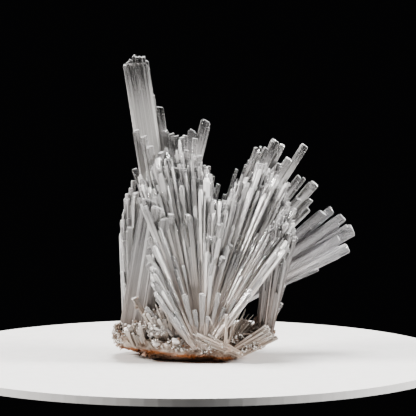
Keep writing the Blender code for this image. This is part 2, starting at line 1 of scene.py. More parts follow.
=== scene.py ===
"""Scolecite cluster: glassy prisms and needles over a rust-rimmed crust, on a pale floor.

Places and sizes are written in millimetres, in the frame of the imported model: +Z up, the
front facing -Y. They become metres where a mesh is made.
"""

import json
import logging
import math
import random
from dataclasses import dataclass, field

import bmesh
import bpy
import numpy as np
from mathutils import Matrix, Vector, noise

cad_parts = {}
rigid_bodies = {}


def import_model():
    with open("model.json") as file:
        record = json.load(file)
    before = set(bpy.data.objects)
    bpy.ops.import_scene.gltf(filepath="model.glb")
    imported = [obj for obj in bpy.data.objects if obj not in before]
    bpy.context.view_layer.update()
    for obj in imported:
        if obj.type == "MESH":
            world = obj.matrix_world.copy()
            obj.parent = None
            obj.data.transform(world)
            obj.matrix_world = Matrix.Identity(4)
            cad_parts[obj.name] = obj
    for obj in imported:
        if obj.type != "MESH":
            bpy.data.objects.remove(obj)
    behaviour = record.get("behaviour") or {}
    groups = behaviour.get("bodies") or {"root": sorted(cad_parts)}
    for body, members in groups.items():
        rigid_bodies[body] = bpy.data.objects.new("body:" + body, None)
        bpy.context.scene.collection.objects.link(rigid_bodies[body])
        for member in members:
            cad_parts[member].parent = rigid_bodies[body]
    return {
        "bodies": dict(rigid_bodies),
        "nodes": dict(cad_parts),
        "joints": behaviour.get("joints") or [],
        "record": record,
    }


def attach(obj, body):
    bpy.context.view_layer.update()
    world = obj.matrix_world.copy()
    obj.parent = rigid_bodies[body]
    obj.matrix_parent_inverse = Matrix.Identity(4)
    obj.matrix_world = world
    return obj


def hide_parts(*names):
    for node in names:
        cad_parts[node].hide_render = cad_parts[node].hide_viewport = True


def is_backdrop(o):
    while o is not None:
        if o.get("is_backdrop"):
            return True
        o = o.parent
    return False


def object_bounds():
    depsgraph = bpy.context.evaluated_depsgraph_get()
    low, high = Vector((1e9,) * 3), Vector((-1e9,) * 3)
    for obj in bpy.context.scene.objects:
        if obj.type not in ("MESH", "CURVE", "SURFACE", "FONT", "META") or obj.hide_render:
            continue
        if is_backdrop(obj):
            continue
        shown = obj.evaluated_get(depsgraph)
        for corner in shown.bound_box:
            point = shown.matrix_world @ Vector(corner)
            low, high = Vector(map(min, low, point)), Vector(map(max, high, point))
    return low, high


MM = 0.001
BODY = "root"

log = logging.getLogger("scolecite")


def direction(lean: float, tilt: float) -> Vector:
    """Find the direction that leans to the right and towards the front.

    Args:
        lean: Degrees to the right of upright.
        tilt: Degrees towards the front of upright.

    Returns:
        A unit vector.
    """
    return Vector((math.tan(math.radians(lean)), -math.tan(math.radians(tilt)), 1.0)).normalized()


def frame_along(axis: Vector, turn: float) -> Matrix:
    """Find a crystal's own axes: across it, towards its back, and along it.

    Args:
        axis: The unit vector along it.
        turn: Degrees that it is turned about its length.

    Returns:
        The rotation from its own axes to the frame's.
    """
    across = Vector((0.0, 1.0, 0.0)).cross(axis)
    if across.length < 0.1:
        across = Vector((1.0, 0.0, 0.0))
    across.normalize()
    frame = Matrix((across, axis.cross(across), axis)).transposed()
    return frame @ Matrix.Rotation(math.radians(turn), 3, "Z")


def between(points: list[tuple[float, float]], at: float) -> float:
    """Read a value in straight lines between given points.

    Args:
        points: Pairs of place and value, in rising order of place.
        at: The place to read.

    Returns:
        The value there.
    """
    if at <= points[0][0]:
        return points[0][1]
    for (a, low), (b, high) in zip(points, points[1:]):
        if at <= b:
            return low + (high - low) * (at - a) / (b - a)
    return points[-1][1]


def show(name: str, mesh: bpy.types.Mesh) -> bpy.types.Object:
    """Make an object of a mesh and put it in the scene.

    Args:
        name: The object's name.
        mesh: Its mesh.

    Returns:
        The object, at the origin.
    """
    made = bpy.data.objects.new(name, mesh)
    bpy.context.scene.collection.objects.link(made)
    return made


def store(mesh: bpy.types.Mesh, numbers: dict[str, list[float]]) -> None:
    """Store numbers on a mesh's points.

    Args:
        mesh: The mesh.
        numbers: One number for each point, by the attribute's name.
    """
    for name, values in numbers.items():
        data = np.array(values, dtype=np.float32)
        mesh.attributes.new(name, "FLOAT", "POINT").data.foreach_set("value", data)


class Shader:
    """A node tree of one material, with short calls for the nodes that it is made of."""

    def __init__(self, name: str) -> None:
        """Start a material with its Principled shader.

        Args:
            name: The material's name.
        """
        self.material = bpy.data.materials.new(name)
        self.material.use_nodes = True
        self.nodes = self.material.node_tree.nodes
        self.links = self.material.node_tree.links
        self.surface = self.nodes["Principled BSDF"]

    def join(self, source: bpy.types.NodeSocket, target: bpy.types.NodeSocket) -> None:
        """Link two sockets."""
        self.links.new(source, target)

    def attribute(self, name: str) -> bpy.types.NodeSocket:
        """Read a number that the mesh carries."""
        node = self.nodes.new("ShaderNodeAttribute")
        node.attribute_name = name
        return node.outputs["Fac"]

    def place(self) -> bpy.types.NodeSocket:
        """Read the place on the object, in metres."""
        return self.nodes.new("ShaderNodeTexCoord").outputs["Object"]

    def height(self) -> bpy.types.NodeSocket:
        """Read the height on the object, in metres."""
        node = self.nodes.new("ShaderNodeSeparateXYZ")
        self.join(self.place(), node.inputs[0])
        return node.outputs["Z"]

    def noise(
        self,
        scale: float,
        detail: float = 3.0,
        source: bpy.types.NodeSocket | None = None,
        stretch: tuple[float, float, float] = (1.0, 1.0, 1.0),
    ) -> bpy.types.NodeSocket:
        """Add a noise pattern.

        Args:
            scale: Its fineness, per metre of the place that it reads.
            detail: How many finer layers it has.
            source: The place that it reads, or the object's own.
            stretch: Factors on the place along each axis.

        Returns:
            The pattern's value.
        """
        shift = self.nodes.new("ShaderNodeMapping")
        shift.inputs["Scale"].default_value = stretch
        self.join(source or self.place(), shift.inputs["Vector"])
        node = self.nodes.new("ShaderNodeTexNoise")
        node.inputs["Scale"].default_value = scale
        node.inputs["Detail"].default_value = detail
        self.join(shift.outputs[0], node.inputs["Vector"])
        return node.outputs["Fac"]

    def spread(
        self,
        value: bpy.types.NodeSocket,
        source: tuple[float, float],
        target: tuple[float, float] = (0.0, 1.0),
        smooth: bool = True,
    ) -> bpy.types.NodeSocket:
        """Map a range of values onto another, and stop at its ends.

        Args:
            value: What is mapped.
            source: The values that are read.
            target: The values that they become.
            smooth: Whether the ends are eased.

        Returns:
            The mapped value.
        """
        node = self.nodes.new("ShaderNodeMapRange")
        node.interpolation_type = "SMOOTHSTEP" if smooth else "LINEAR"
        self.join(value, node.inputs["Value"])
        names = ("From Min", "From Max", "To Min", "To Max")
        for name, number in zip(names, source + target):
            node.inputs[name].default_value = number
        return node.outputs["Result"]

    def pattern(
        self,
        kind: tuple[float, float, tuple[float, float]],
        target: tuple[float, float] = (0.0, 1.0),
    ) -> bpy.types.NodeSocket:
        """Add a noise pattern and keep one band of its values.

        Args:
            kind: Its fineness, its layers, and the band that is kept.
            target: The values that the band's ends become.

        Returns:
            The pattern's value.
        """
        scale, detail, band = kind
        return self.spread(self.noise(scale, detail), band, target)

    def maths(
        self,
        operation: str,
        first: bpy.types.NodeSocket,
        second: bpy.types.NodeSocket | float,
    ) -> bpy.types.NodeSocket:
        """Combine two values by one sum, clamped between 0 and 1.

        Args:
            operation: The sum's name.
            first: The first value.
            second: The second value, or a plain number.

        Returns:
            The result.
        """
        node = self.nodes.new("ShaderNodeMath")
        node.operation = operation
        node.use_clamp = True
        self.join(first, node.inputs[0])
        if isinstance(second, float):
            node.inputs[1].default_value = second
        else:
            self.join(second, node.inputs[1])
        return node.outputs[0]

    def mix(
        self,
        share: bpy.types.NodeSocket,
        first: tuple[float, float, float] | bpy.types.NodeSocket,
        second: tuple[float, float, float] | bpy.types.NodeSocket,
    ) -> bpy.types.NodeSocket:
        """Mix two colours.

        Args:
            share: How much of the second shows.
            first: A colour, or a socket that gives one.
            second: A colour, or a socket that gives one.

        Returns:
            The mixed colour.
        """
        node = self.nodes.new("ShaderNodeMix")
        node.data_type = "RGBA"
        self.join(share, node.inputs[0])
        for socket, colour in ((node.inputs[6], first), (node.inputs[7], second)):
            if isinstance(colour, tuple):
                socket.default_value = (*colour, 1.0)
            else:
                self.join(colour, socket)
        return node.outputs[2]

    def bump(self, height: bpy.types.NodeSocket, depth: float, strength: float) -> None:
        """Raise the surface by a pattern.

        Args:
            height: The pattern.
            depth: Its height in metres.
            strength: How much of it shows.
        """
        node = self.nodes.new("ShaderNodeBump")
        node.inputs["Distance"].default_value = depth
        node.inputs["Strength"].default_value = strength
        self.join(height, node.inputs["Height"])
        self.join(node.outputs[0], self.surface.inputs["Normal"])


@dataclass(frozen=True)
class CrystalFinish:
    """Glassy scolecite: clear at its points, milky towards its root, streaked along its length."""

    name: str
    root: tuple[float, float, float] = (0.52, 0.42, 0.355)
    # dull and bright bound each crystal's random tone, and smoky is the darkest tone near its point; the
    # two rear crystals of the tower take the darkest tone as painted shade
    dull: tuple[float, float, float] = (0.63, 0.615, 0.60)
    bright: tuple[float, float, float] = (0.80, 0.785, 0.77)
    smoky_and_shaded: tuple[float, float, float] = (0.60, 0.59, 0.59)
    point: tuple[float, float, float] = (0.94, 0.93, 0.92)
    frost: tuple[float, float, float] = (0.95, 0.95, 0.95)
    milky: float = 0.42
    clear: float = 1.0
    clear_zone: float = 13.0
    frost_zone: float = 0.20
    frosted: float = 0.40
    streaked: float = 0.30
    root_zone: tuple[float, float] = (0.006, 0.040)
    index: float = 1.52
    roughness: tuple[float, float] = (0.02, 0.14)
    striation: float = 0.00010

    # How far from its point a crystal is clear, in millimetres, and frosted, as a share of its zone
    POINT_END = 0.8
    FROST_FULL = 0.3
    ROOT_SHARE = 0.80
    # The streaks' and the fine lines' stretch across and along a crystal, and the streaks that show
    STREAKS = (2.6, 0.045, 1.0)
    STREAK_BAND = (0.38, 0.60)
    LINES = (4.0, 0.02, 1.0)

    def material(self) -> bpy.types.Material:
        """Build the finish.

        Returns:
            Its material.
        """
        shader = Shader(self.name)
        from_point = shader.attribute("from_point")
        shade = shader.attribute("shade")
        own_clearness = shader.attribute("clearness")
        along = shader.nodes.new("ShaderNodeUVMap")
        along.uv_map = "UVMap"

        near_point = shader.spread(from_point, (self.clear_zone, self.POINT_END))
        frost = shader.spread(from_point, (self.frost_zone, self.frost_zone * self.FROST_FULL))
        streaks = shader.noise(1.0, 4.0, along.outputs[0], self.STREAKS)
        streaks = shader.spread(streaks, self.STREAK_BAND)
        rooted = shader.spread(shader.height(), self.root_zone, (1.0, 0.0))
        colour = shader.mix(shade, self.dull, self.bright)
        colour = shader.mix(shader.maths("MULTIPLY", rooted, self.ROOT_SHARE), colour, self.root)
        colour = shader.mix(near_point, colour, shader.mix(shade, self.smoky_and_shaded, self.point))
        colour = shader.mix(frost, colour, self.frost)
        shader.join(colour, shader.surface.inputs["Base Color"])

        lit = shader.spread(near_point, (0.0, 1.0), (self.milky, self.clear), smooth=False)
        lit = shader.maths("MULTIPLY", lit, own_clearness)
        banded = shader.spread(streaks, (0.0, 1.0), (1.0, 1.0 - self.streaked), smooth=False)
        lit = shader.maths("MULTIPLY", lit, banded)
        open_ends = shader.spread(frost, (0.0, 1.0), (1.0, 1.0 - self.frosted), smooth=False)
        lit = shader.maths("MULTIPLY", lit, open_ends)
        shader.join(lit, shader.surface.inputs["Transmission Weight"])

        rough = shader.spread(near_point, (0.0, 1.0), self.roughness[::-1], smooth=False)
        shader.join(rough, shader.surface.inputs["Roughness"])
        shader.surface.inputs["IOR"].default_value = self.index
        shader.surface.inputs["Metallic"].default_value = 0.0

        lines = shader.noise(1.0, 3.0, along.outputs[0], self.LINES)
        shader.bump(lines, self.striation, 1.0)
        return shader.material


@dataclass(frozen=True)
class CrustFinish:
    """Dull zeolite crust: off-white and beige above, rust-brown along its lower rim and pit."""

    name: str = "crust_stone"
    pale: tuple[float, float, float] = (0.38, 0.32, 0.27)
    beige: tuple[float, float, float] = (0.20, 0.137, 0.10)
    rust: tuple[float, float, float] = (0.30, 0.105, 0.030)
    dark: tuple[float, float, float] = (0.06, 0.032, 0.020)
    under: tuple[float, float, float] = (0.20, 0.125, 0.085)
    rim: tuple[float, float] = (1.3, 0.3)
    below_rim: tuple[float, float] = (0.1, -0.9)
    roughness: tuple[float, float] = (0.45, 0.85)

    # Each pattern's fineness per metre, its layers, and the band of its values that shows
    BROAD = (330.0, 5.0, (0.40, 0.60))
    PATCHES = (300.0, 4.0, (0.34, 0.52))
    SPOTS = (760.0, 2.0, (0.66, 0.72))
    HOLLOWS = (900.0, 3.0, (0.58, 0.72))
    GLOSS = (500.0, 3.0, (0.3, 0.7))
    # The stain's strength between its patches and in them
    STAIN = (0.25, 1.0)
    GRAIN = (1500.0, 6.0)
    GRAIN_DEPTH = 0.00030

    def material(self) -> bpy.types.Material:
        """Build the finish.

        Returns:
            Its material.
        """
        shader = Shader(self.name)
        broad = shader.pattern(self.BROAD)
        colour = shader.mix(broad, self.beige, self.pale)
        low = shader.spread(shader.attribute("above_rim"), self.rim)
        patchy = shader.pattern(self.PATCHES, self.STAIN)
        stain = shader.maths("MULTIPLY", low, patchy)
        spots = shader.pattern(self.SPOTS)
        stain = shader.maths("MAXIMUM", stain, spots)
        colour = shader.mix(stain, colour, self.rust)
        below = shader.spread(shader.attribute("above_rim"), self.below_rim)
        colour = shader.mix(shader.maths("MULTIPLY", below, patchy), colour, self.under)
        deep = shader.pattern(self.HOLLOWS)
        deep = shader.maths("MULTIPLY", deep, stain)
        deep = shader.maths("MAXIMUM", deep, shader.attribute("pit"))
        colour = shader.mix(deep, colour, self.dark)
        shader.join(colour, shader.surface.inputs["Base Color"])
        gloss = shader.pattern(self.GLOSS, self.roughness)
        shader.join(gloss, shader.surface.inputs["Roughness"])
        shader.bump(shader.noise(*self.GRAIN), self.GRAIN_DEPTH, 1.0)
        return shader.material


@dataclass(frozen=True)
class FloorFinish:
    """The pale matt floor."""

    name: str = "floor_paper"
    colour: tuple[float, float, float] = (0.62, 0.61, 0.60)
    darker: float = 0.95
    roughness: float = 0.8

    GRAIN = (300.0, 3.0, (0.3, 0.7))

    def material(self) -> bpy.types.Material:
        """Build the finish.

        Returns:
            Its material.
        """
        shader = Shader(self.name)
        grain = shader.pattern(self.GRAIN)
        darker = tuple(value * self.darker for value in self.colour)
        shader.join(shader.mix(grain, self.colour, darker), shader.surface.inputs["Base Color"])
        shader.surface.inputs["Roughness"].default_value = self.roughness
        return shader.material


@dataclass(frozen=True)
class Prism:
    """One large crystal, from the middle of its foot to its point, in millimetres."""

    tip: tuple[float, float, float]
    foot: tuple[float, float, float]
    width: float
    flat: float = 0.85
    turn: float = 20.0
    clearness: float = 1.0
    columns: int = 3
    shade: float | None = None
    taper: float = 0.86

    # Shares of the width: the middle column's, and the others' place aside and behind
    MIDDLE = 0.8
    ASIDE = (0.24, 0.34)
    BEHIND = 0.28
    THINNER = (0.3, 0.46)
    DEEPER = (0.8, 1.1)
    # How much lower the others end: at least, at most, and at most as a share of the length
    LOWER = (0.15, 6.0, 0.2)
    SLANT = (0.22, 0.12)

    def slant(self, draw: random.Random) -> tuple[float, float]:
        """Draw how steeply a column's end falls away."""
        across, ahead = self.SLANT
        return draw.uniform(-across, across), draw.uniform(-ahead, ahead)

    def grow(self, mesh: "CrystalMesh", draw: random.Random, shop: "Workshop") -> None:
        """Add the crystal as columns grown side by side, the middle one highest.

        Args:
            mesh: The mesh that takes the columns.
            draw: The source of their small differences.
            shop: What knows the model's box.
        """
        foot = Vector(self.foot)
        tip = shop.shorten(foot, Vector(self.tip), self.width)
        along = (tip - foot).normalized()
        frame = frame_along(along, self.turn)
        shade = draw.random() if self.shade is None else self.shade
        main = self.MIDDLE if self.columns > 1 else 1.0
        mesh.add(
            foot, tip, self.width * main, self.flat, self.turn, shade, self.clearness,
            self.slant(draw), self.taper,
        )
        least, most, share = self.LOWER
        for i in range(self.columns - 1):
            side = (-1.0 if i % 2 else 1.0) * draw.uniform(*self.ASIDE)
            depth = draw.uniform(-self.BEHIND, self.BEHIND) * self.flat
            shift = frame @ Vector((side, depth, 0.0)) * self.width
            width = self.width * draw.uniform(*self.THINNER)
            shorter = draw.uniform(0.1, 1.0) ** 2 * min(most, (tip - foot).length * share) + least
            mesh.add(
                foot + shift * self.taper, tip + shift - along * shorter, width,
                draw.uniform(*self.DEEPER) * min(1.0, self.flat * 1.4), self.turn, shade,
                self.clearness, self.slant(draw), self.taper,
            )


def radial(
    centre: Vector, start: float, tip: tuple[float, float, float], width: float, **more: float
) -> Prism:
    """Make a prism that points away from a centre.

    Args:
        centre: The place that it points away from.
        start: How far from there it begins.
        tip: Its point.
        width: Its width.
        more: Further fields of the prism.

    Returns:
        The prism.
    """
    along = (Vector(tip) - centre).normalized()
    return Prism(tip, tuple(centre + along * start), width, **more)


def sloping(
    tip: tuple[float, float, float],
    slope: tuple[float, float],
    length: float,
    width: float,
    **more: float,
) -> Prism:
    """Make a prism that comes down from its point at a slope.

    Args:
        tip: Its point.
        slope: Degrees that it leans to the right and tilts to the front.
        length: Its length.
        width: Its width.
        more: Further fields of the prism.

    Returns:
        The prism.
    """
    return Prism(tip, tuple(Vector(tip) - direction(*slope) * length), width, **more)


@dataclass
class CrystalMesh:
    """Collects straight crystals and turns them into one mesh with its attributes."""

    name: str
    verts: list[Vector] = field(default_factory=list)
    faces: list[tuple[int, ...]] = field(default_factory=list)
    corner_uv: list[tuple[float, float]] = field(default_factory=list)
    from_point: list[float] = field(default_factory=list)
    shade: list[float] = field(default_factory=list)
    clearness: list[float] = field(default_factory=list)

    # Shares of the width: the bevels along its edges, its end face, and the end's height
    EDGE_CUT = 0.22
    CAP = 0.70
    CAP_RISE = 0.16
    # The most that an end takes up of its crystal's length
    CAP_LIMIT = 0.2

    def outline(self, width: float, flat: float) -> list[Vector]:
        """Draw a crystal's outline across its length: four sides with bevelled edges.

        Args:
            width: Its width.
            flat: Its depth as a share of its width.

        Returns:
            The outline's corners, anticlockwise.
        """
        corners = [(1, 1 - self.EDGE_CUT), (1 - self.EDGE_CUT, 1)]
        points = []
        for quarter in range(4):
            turn = Matrix.Rotation(math.pi / 2 * quarter, 2)
            for corner in corners:
                x, y = turn @ Vector(corner)
                points.append(Vector((x * width / 2, y * width * flat / 2, 0.0)))
        return points

    def add(
        self,
        foot: Vector,
        tip: Vector,
        width: float,
        flat: float,
        turn: float,
        shade: float,
        clearness: float,
        slant: tuple[float, float] = (0.2, 0.1),
        taper: float = 0.86,
        fading: float = 1.0,
    ) -> None:
        """Add one closed crystal: a straight column with a slanted, bevelled end.

        Args:
            foot: The middle of its foot.
            tip: The highest place of its end.
            width: Its width.
            flat: Its depth as a share of its width.
            turn: Degrees that it is turned about its length.
            shade: Its own share of the finish's variation, from 0 to 1.
            clearness: How clear it is, from 0 to 1.
            slant: How steeply its end falls away across its width and its depth.
            taper: How wide its foot is, as a share of its width.
            fading: How fast it turns milky away from its point.
        """
        length = (tip - foot).length
        frame = frame_along((tip - foot).normalized(), turn)
        rise = min(width * self.CAP_RISE, length * self.CAP_LIMIT)
        fall = (abs(slant[0]) + abs(slant[1]) * flat) * width / 2
        outline = self.outline(width, flat)
        count = len(outline)
        base = len(self.verts)
        rings = ((0.0, taper, length), (length - rise, 1.0, rise), (length, self.CAP, 0.0))
        for height, size, left in rings:
            for corner in outline:
                drop = corner.x * slant[0] + corner.y * slant[1] + fall if height else 0.0
                spot = Vector((corner.x * size, corner.y * size, height - drop))
                self.verts.append(foot + frame @ spot)
                self.from_point.append(left * fading)
        self.shade += [shade] * (3 * count)
        self.clearness += [clearness] * (3 * count)
        around = [0.0]
        for a, b in zip(outline, outline[1:] + outline[:1]):
            around.append(around[-1] + (b - a).length)
        self.faces.append(tuple(range(base + count - 1, base - 1, -1)))
        self.corner_uv += [(0.0, 0.0)] * count
        for level in range(2):
            low, high = rings[level][0], rings[level + 1][0]
            start = base + level * count
            for i in range(count):
                j = (i + 1) % count
                self.faces.append((start + i, start + j, start + count + j, start + count + i))
                self.corner_uv += [
                    (around[i], low), (around[i + 1], low), (around[i + 1], high), (around[i], high),
                ]
        self.faces.append(tuple(range(base + 2 * count, base + 3 * count)))
        self.corner_uv += [(corner.x, length + corner.y) for corner in outline]

    def build(self) -> bpy.types.Object:
        """Make the object.

        Returns:
            The object, at the origin, with its place in its mesh.
        """
        mesh = bpy.data.meshes.new(self.name)
        mesh.from_pydata([tuple(vert * MM) for vert in self.verts], [], self.faces)
        layer = mesh.uv_layers.new(name="UVMap")
        layer.data.foreach_set("uv", np.array(self.corner_uv, dtype=np.float32).ravel())
        store(mesh, {name: getattr(self, name) for name in ("from_point", "shade", "clearness")})
        mesh.update()
        return show(self.name, mesh)


@dataclass
class GrowthTree:
    """Geometry Nodes that grow a crystal on every point of a mesh, aimed and sized by the point."""

    name: str = "needle_growth"

    def __post_init__(self) -> None:
        """Build the tree and its named inputs."""
        self.tree = bpy.data.node_groups.new(self.name, "GeometryNodeTree")
        self.face = self.tree.interface
        sockets = (
            ("Geometry", "OUTPUT", "Geometry"), ("Geometry", "INPUT", "Geometry"),
            ("Crystal", "INPUT", "Object"), ("Thickness", "INPUT", "Float"),
            ("Finish", "INPUT", "Material"),
        )
        for name, way, kind in sockets:
            self.face.new_socket(name, in_out=way, socket_type=f"NodeSocket{kind}")
        self.wire()

    def node(self, kind: str, **settings: object) -> bpy.types.Node:
        """Add a node.

        Args:
            kind: The node's type.
            settings: Values of the node's own properties.

        Returns:
            The node.
        """
        made = self.tree.nodes.new(kind)
        for key, value in settings.items():
            setattr(made, key, value)
        return made

    def named(self, name: str, kind: str = "FLOAT") -> bpy.types.NodeSocket:
        """Read an attribute by its name."""
        made = self.node("GeometryNodeInputNamedAttribute", data_type=kind)
        made.inputs["Name"].default_value = name
        return made.outputs["Attribute"]

    def wire(self) -> None:
        """Join the nodes: aim, turn, size, realize, measure from the point, and dress."""
        link = self.tree.links.new
        given = self.node("NodeGroupInput")
        grown = self.node("NodeGroupOutput")
        shape = self.node("GeometryNodeObjectInfo", transform_space="ORIGINAL")
        link(given.outputs["Crystal"], shape.inputs["Object"])
        aim = self.node("FunctionNodeAlignRotationToVector", axis="Z")
        link(self.named("aim", "FLOAT_VECTOR"), aim.inputs["Vector"])
        roll = self.node("FunctionNodeAxisAngleToRotation")
        roll.inputs["Axis"].default_value = (0, 0, 1)
        link(self.named("roll"), roll.inputs["Angle"])
        turned = self.node("FunctionNodeRotateRotation", rotation_space="LOCAL")
        link(aim.outputs[0], turned.inputs["Rotation"])
        link(roll.outputs[0], turned.inputs["Rotate By"])
        thick = self.node("ShaderNodeCombineXYZ")
        link(given.outputs["Thickness"], thick.inputs["X"])
        link(given.outputs["Thickness"], thick.inputs["Y"])
        thick.inputs["Z"].default_value = 1.0
        size = self.node("ShaderNodeVectorMath", operation="MULTIPLY")
        link(self.named("size", "FLOAT_VECTOR"), size.inputs[0])
        link(thick.outputs[0], size.inputs[1])
        place = self.node("GeometryNodeInstanceOnPoints")
        link(given.outputs["Geometry"], place.inputs["Points"])
        link(shape.outputs["Geometry"], place.inputs["Instance"])
        link(turned.outputs[0], place.inputs["Rotation"])
        link(size.outputs[0], place.inputs["Scale"])
        real = self.node("GeometryNodeRealizeInstances")
        link(place.outputs[0], real.inputs[0])
        rest = self.node("ShaderNodeMath", operation="SUBTRACT")
        rest.inputs[0].default_value = 1.0
        link(self.named("along"), rest.inputs[1])
        measured = self.node("ShaderNodeMath", operation="MULTIPLY")
        link(rest.outputs[0], measured.inputs[0])
        link(self.named("length"), measured.inputs[1])
        stored = self.node("GeometryNodeStoreNamedAttribute", data_type="FLOAT")
        stored.inputs["Name"].default_value = "from_point"
        link(real.outputs[0], stored.inputs["Geometry"])
        link(measured.outputs[0], stored.inputs["Value"])
        dress = self.node("GeometryNodeSetMaterial")
        link(stored.outputs[0], dress.inputs["Geometry"])
        link(given.outputs["Finish"], dress.inputs["Material"])
        link(dress.outputs[0], grown.inputs["Geometry"])

    def grow(
        self,
        points: bpy.types.Object,
        crystal: bpy.types.Object,
        thickness: float,
        finish: bpy.types.Material,
    ) -> bpy.types.Object:
        """Grow the crystals and leave a plain mesh.

        Args:
            points: A mesh of loose points with their attributes.
            crystal: The crystal to grow, one unit long and one unit wide.
            thickness: A factor on every crystal's width.
            finish: The crystals' material.

        Returns:
            The points' object, now with the crystals as its mesh.
        """
        step = points.modifiers.new("growth", "NODES")
        step.node_group = self.tree
        values = {"Crystal": crystal, "Thickness": thickness, "Finish": finish}
        for item in self.face.items_tree:
            if item.in_out == "INPUT" and item.name in values:
                step[item.identifier] = values[item.name]
        graph = bpy.context.evaluated_depsgraph_get()
        made = bpy.data.meshes.new_from_object(points.evaluated_get(graph))
        points.modifiers.clear()
        points.data = made
        return points


@dataclass
class NeedlePoints:
    """Collects the foot, aim and size of slender crystals as loose points for the growth tree."""

    name: str
    feet: list[Vector] = field(default_factory=list)
    aims: list[Vector] = field(default_factory=list)
    sizes: list[tuple[float, float, float]] = field(default_factory=list)
    rolls: list[float] = field(default_factory=list)
    shades: list[float] = field(default_factory=list)
    clearness: list[float] = field(default_factory=list)

    def add(
        self,
        foot: Vector,
        tip: Vector,
        width: float,
        flat: float,
        roll: float,
        shade: float,
        clear: float,
    ) -> None:
        """Add one needle.

        Args:
            foot: The middle of its foot.
            tip: Its point.
            width: Its width.
            flat: Its depth as a share of its width.
            roll: Radians that it is turned about its length.
            shade: Its own share of the finish's variation.
            clear: How clear it is.
        """
        self.feet.append(foot)
        self.aims.append((tip - foot).normalized())
        self.sizes.append((width, width * flat, (tip - foot).length))
        self.rolls.append(roll)
        self.shades.append(shade)
        self.clearness.append(clear)

    def build(self) -> bpy.types.Object:
        """Make the object of loose points.

        Returns:
            The object, its points carrying what the growth tree reads.
        """
        mesh = bpy.data.meshes.new(self.name)
        mesh.from_pydata([tuple(foot * MM) for foot in self.feet], [], [])
        vectors = {
            "aim": np.array([tuple(aim) for aim in self.aims], dtype=np.float32),
            "size": np.array(self.sizes, dtype=np.float32) * MM,
        }
        numbers = {
            "roll": self.rolls,
            "shade": self.shades,
            "clearness": self.clearness,
            "length": [size[2] for size in self.sizes],
        }
        for name, values in vectors.items():
            layer = mesh.attributes.new(name, "FLOAT_VECTOR", "POINT")
            layer.data.foreach_set("vector", values.ravel())
        store(mesh, numbers)
        return show(self.name, mesh)


def unit_crystal(name: str, shoulder: float) -> bpy.types.Object:
    """Make the crystal that the growth tree repeats, one unit long and one unit wide.

    Args:
        name: The object's name.
        shoulder: The share of its length where its point begins.

    Returns:
        The object, which isn't shown.
    """
    corners = [(0.5, 0.5), (-0.5, 0.5), (-0.5, -0.5), (0.5, -0.5)]
    # The height, width and depth of its foot, its shoulder and its end
    rings = ((0.0, 0.55, 0.55), (shoulder, 1.0, 1.0), (1.0, 0.80, 0.40))
    verts, along = [], []
    for height, wide, deep in rings:
        verts += [(x * wide, y * deep, height) for x, y in corners]
        along += [height] * 4
    faces = [(3, 2, 1, 0), (8, 9, 10, 11)]
    for low in (0, 4):
        faces += [(low + i, low + (i + 1) % 4, low + 4 + (i + 1) % 4, low + 4 + i) for i in range(4)]
    mesh = bpy.data.meshes.new(name)
    mesh.from_pydata(verts, [], faces)
    store(mesh, {"along": along})
    mesh.uv_layers.new(name="UVMap")
    mesh.update()
    return bpy.data.objects.new(name, mesh)


@dataclass
class Workshop:
    """What every bundle shares: the growth tree, the unit crystal and the model's box."""

    tree: GrowthTree
    needle: bpy.types.Object
    low: Vector
    high: Vector
    inset: float = 0.1

    # Half of a crystal's end as a share of its width, and how it is drawn back
    END = 0.55
    STEP = 0.1
    STEPS = 120

    def holds(self, place: Vector, margin: float = 0.0) -> bool:
        """Say whether a place in millimetres is inside the model's box, by a margin."""
        room = self.inset + margin
        return all(
            a / MM + room < value < b / MM - room
            for value, a, b in zip(place, self.low, self.high)
        )

    def shorten(self, foot: Vector, tip: Vector, width: float) -> Vector:
        """Draw a crystal's tip back until its whole end is inside the model's box.

        Args:
            foot: The middle of its foot.
            tip: Its tip.
            width: Its width.

        Returns:
            The tip, drawn back where it has to be.
        """
        along = (tip - foot).normalized()
        frame = frame_along(along, 0.0)
        ways = ((1, 0), (-1, 0), (0, 1), (0, -1))
        sides = [frame @ Vector((x, y, 0)) * width * self.END for x, y in ways]
        for _ in range(self.STEPS):
            if all(self.holds(tip + side) for side in sides):
                break
            tip = tip - along * self.STEP
        return tip


@dataclass(frozen=True)
class Root:
    """Where a bundle's crystals begin: a patch that is narrower and lower towards the front."""

    middle: float
    half_back: float
    half_front: float
    back: float
    front: float
    back_height: float
    front_height: float
    leans: tuple[float, float]
    tilt: float

    # How the feet come forward with the tilt: in a straight line, and faster and faster
    STEADY = 0.45
    QUICKENING = 0.55
    DESCENT = 1.5

    def place(self, lean: float, tilt: float, share: float = 1.0) -> Vector:
        """Find the foot of a crystal that leans by two angles.

        Args:
            lean: Degrees to the right of upright.
            tilt: Degrees towards the front of upright.
            share: How near the patch's edge the foot is.

        Returns:
            The foot, in millimetres.
        """
        aside = (lean - sum(self.leans) / 2) / (self.leans[1] - self.leans[0]) * 2
        ahead = max(-1.0, min(1.0, tilt / self.tilt))
        forward = max(ahead, 0.0) * share
        half = self.half_back + (self.half_front - self.half_back) * forward
        if ahead > 0:
            steady = self.front * self.STEADY * forward
            y = -(steady + self.front * self.QUICKENING * forward ** 2)
        else:
            y = -ahead * self.back * share
        lower = (self.front_height - self.back_height) * forward ** self.DESCENT
        z = self.back_height + lower
        return Vector((self.middle + aside * half * share, y, z))


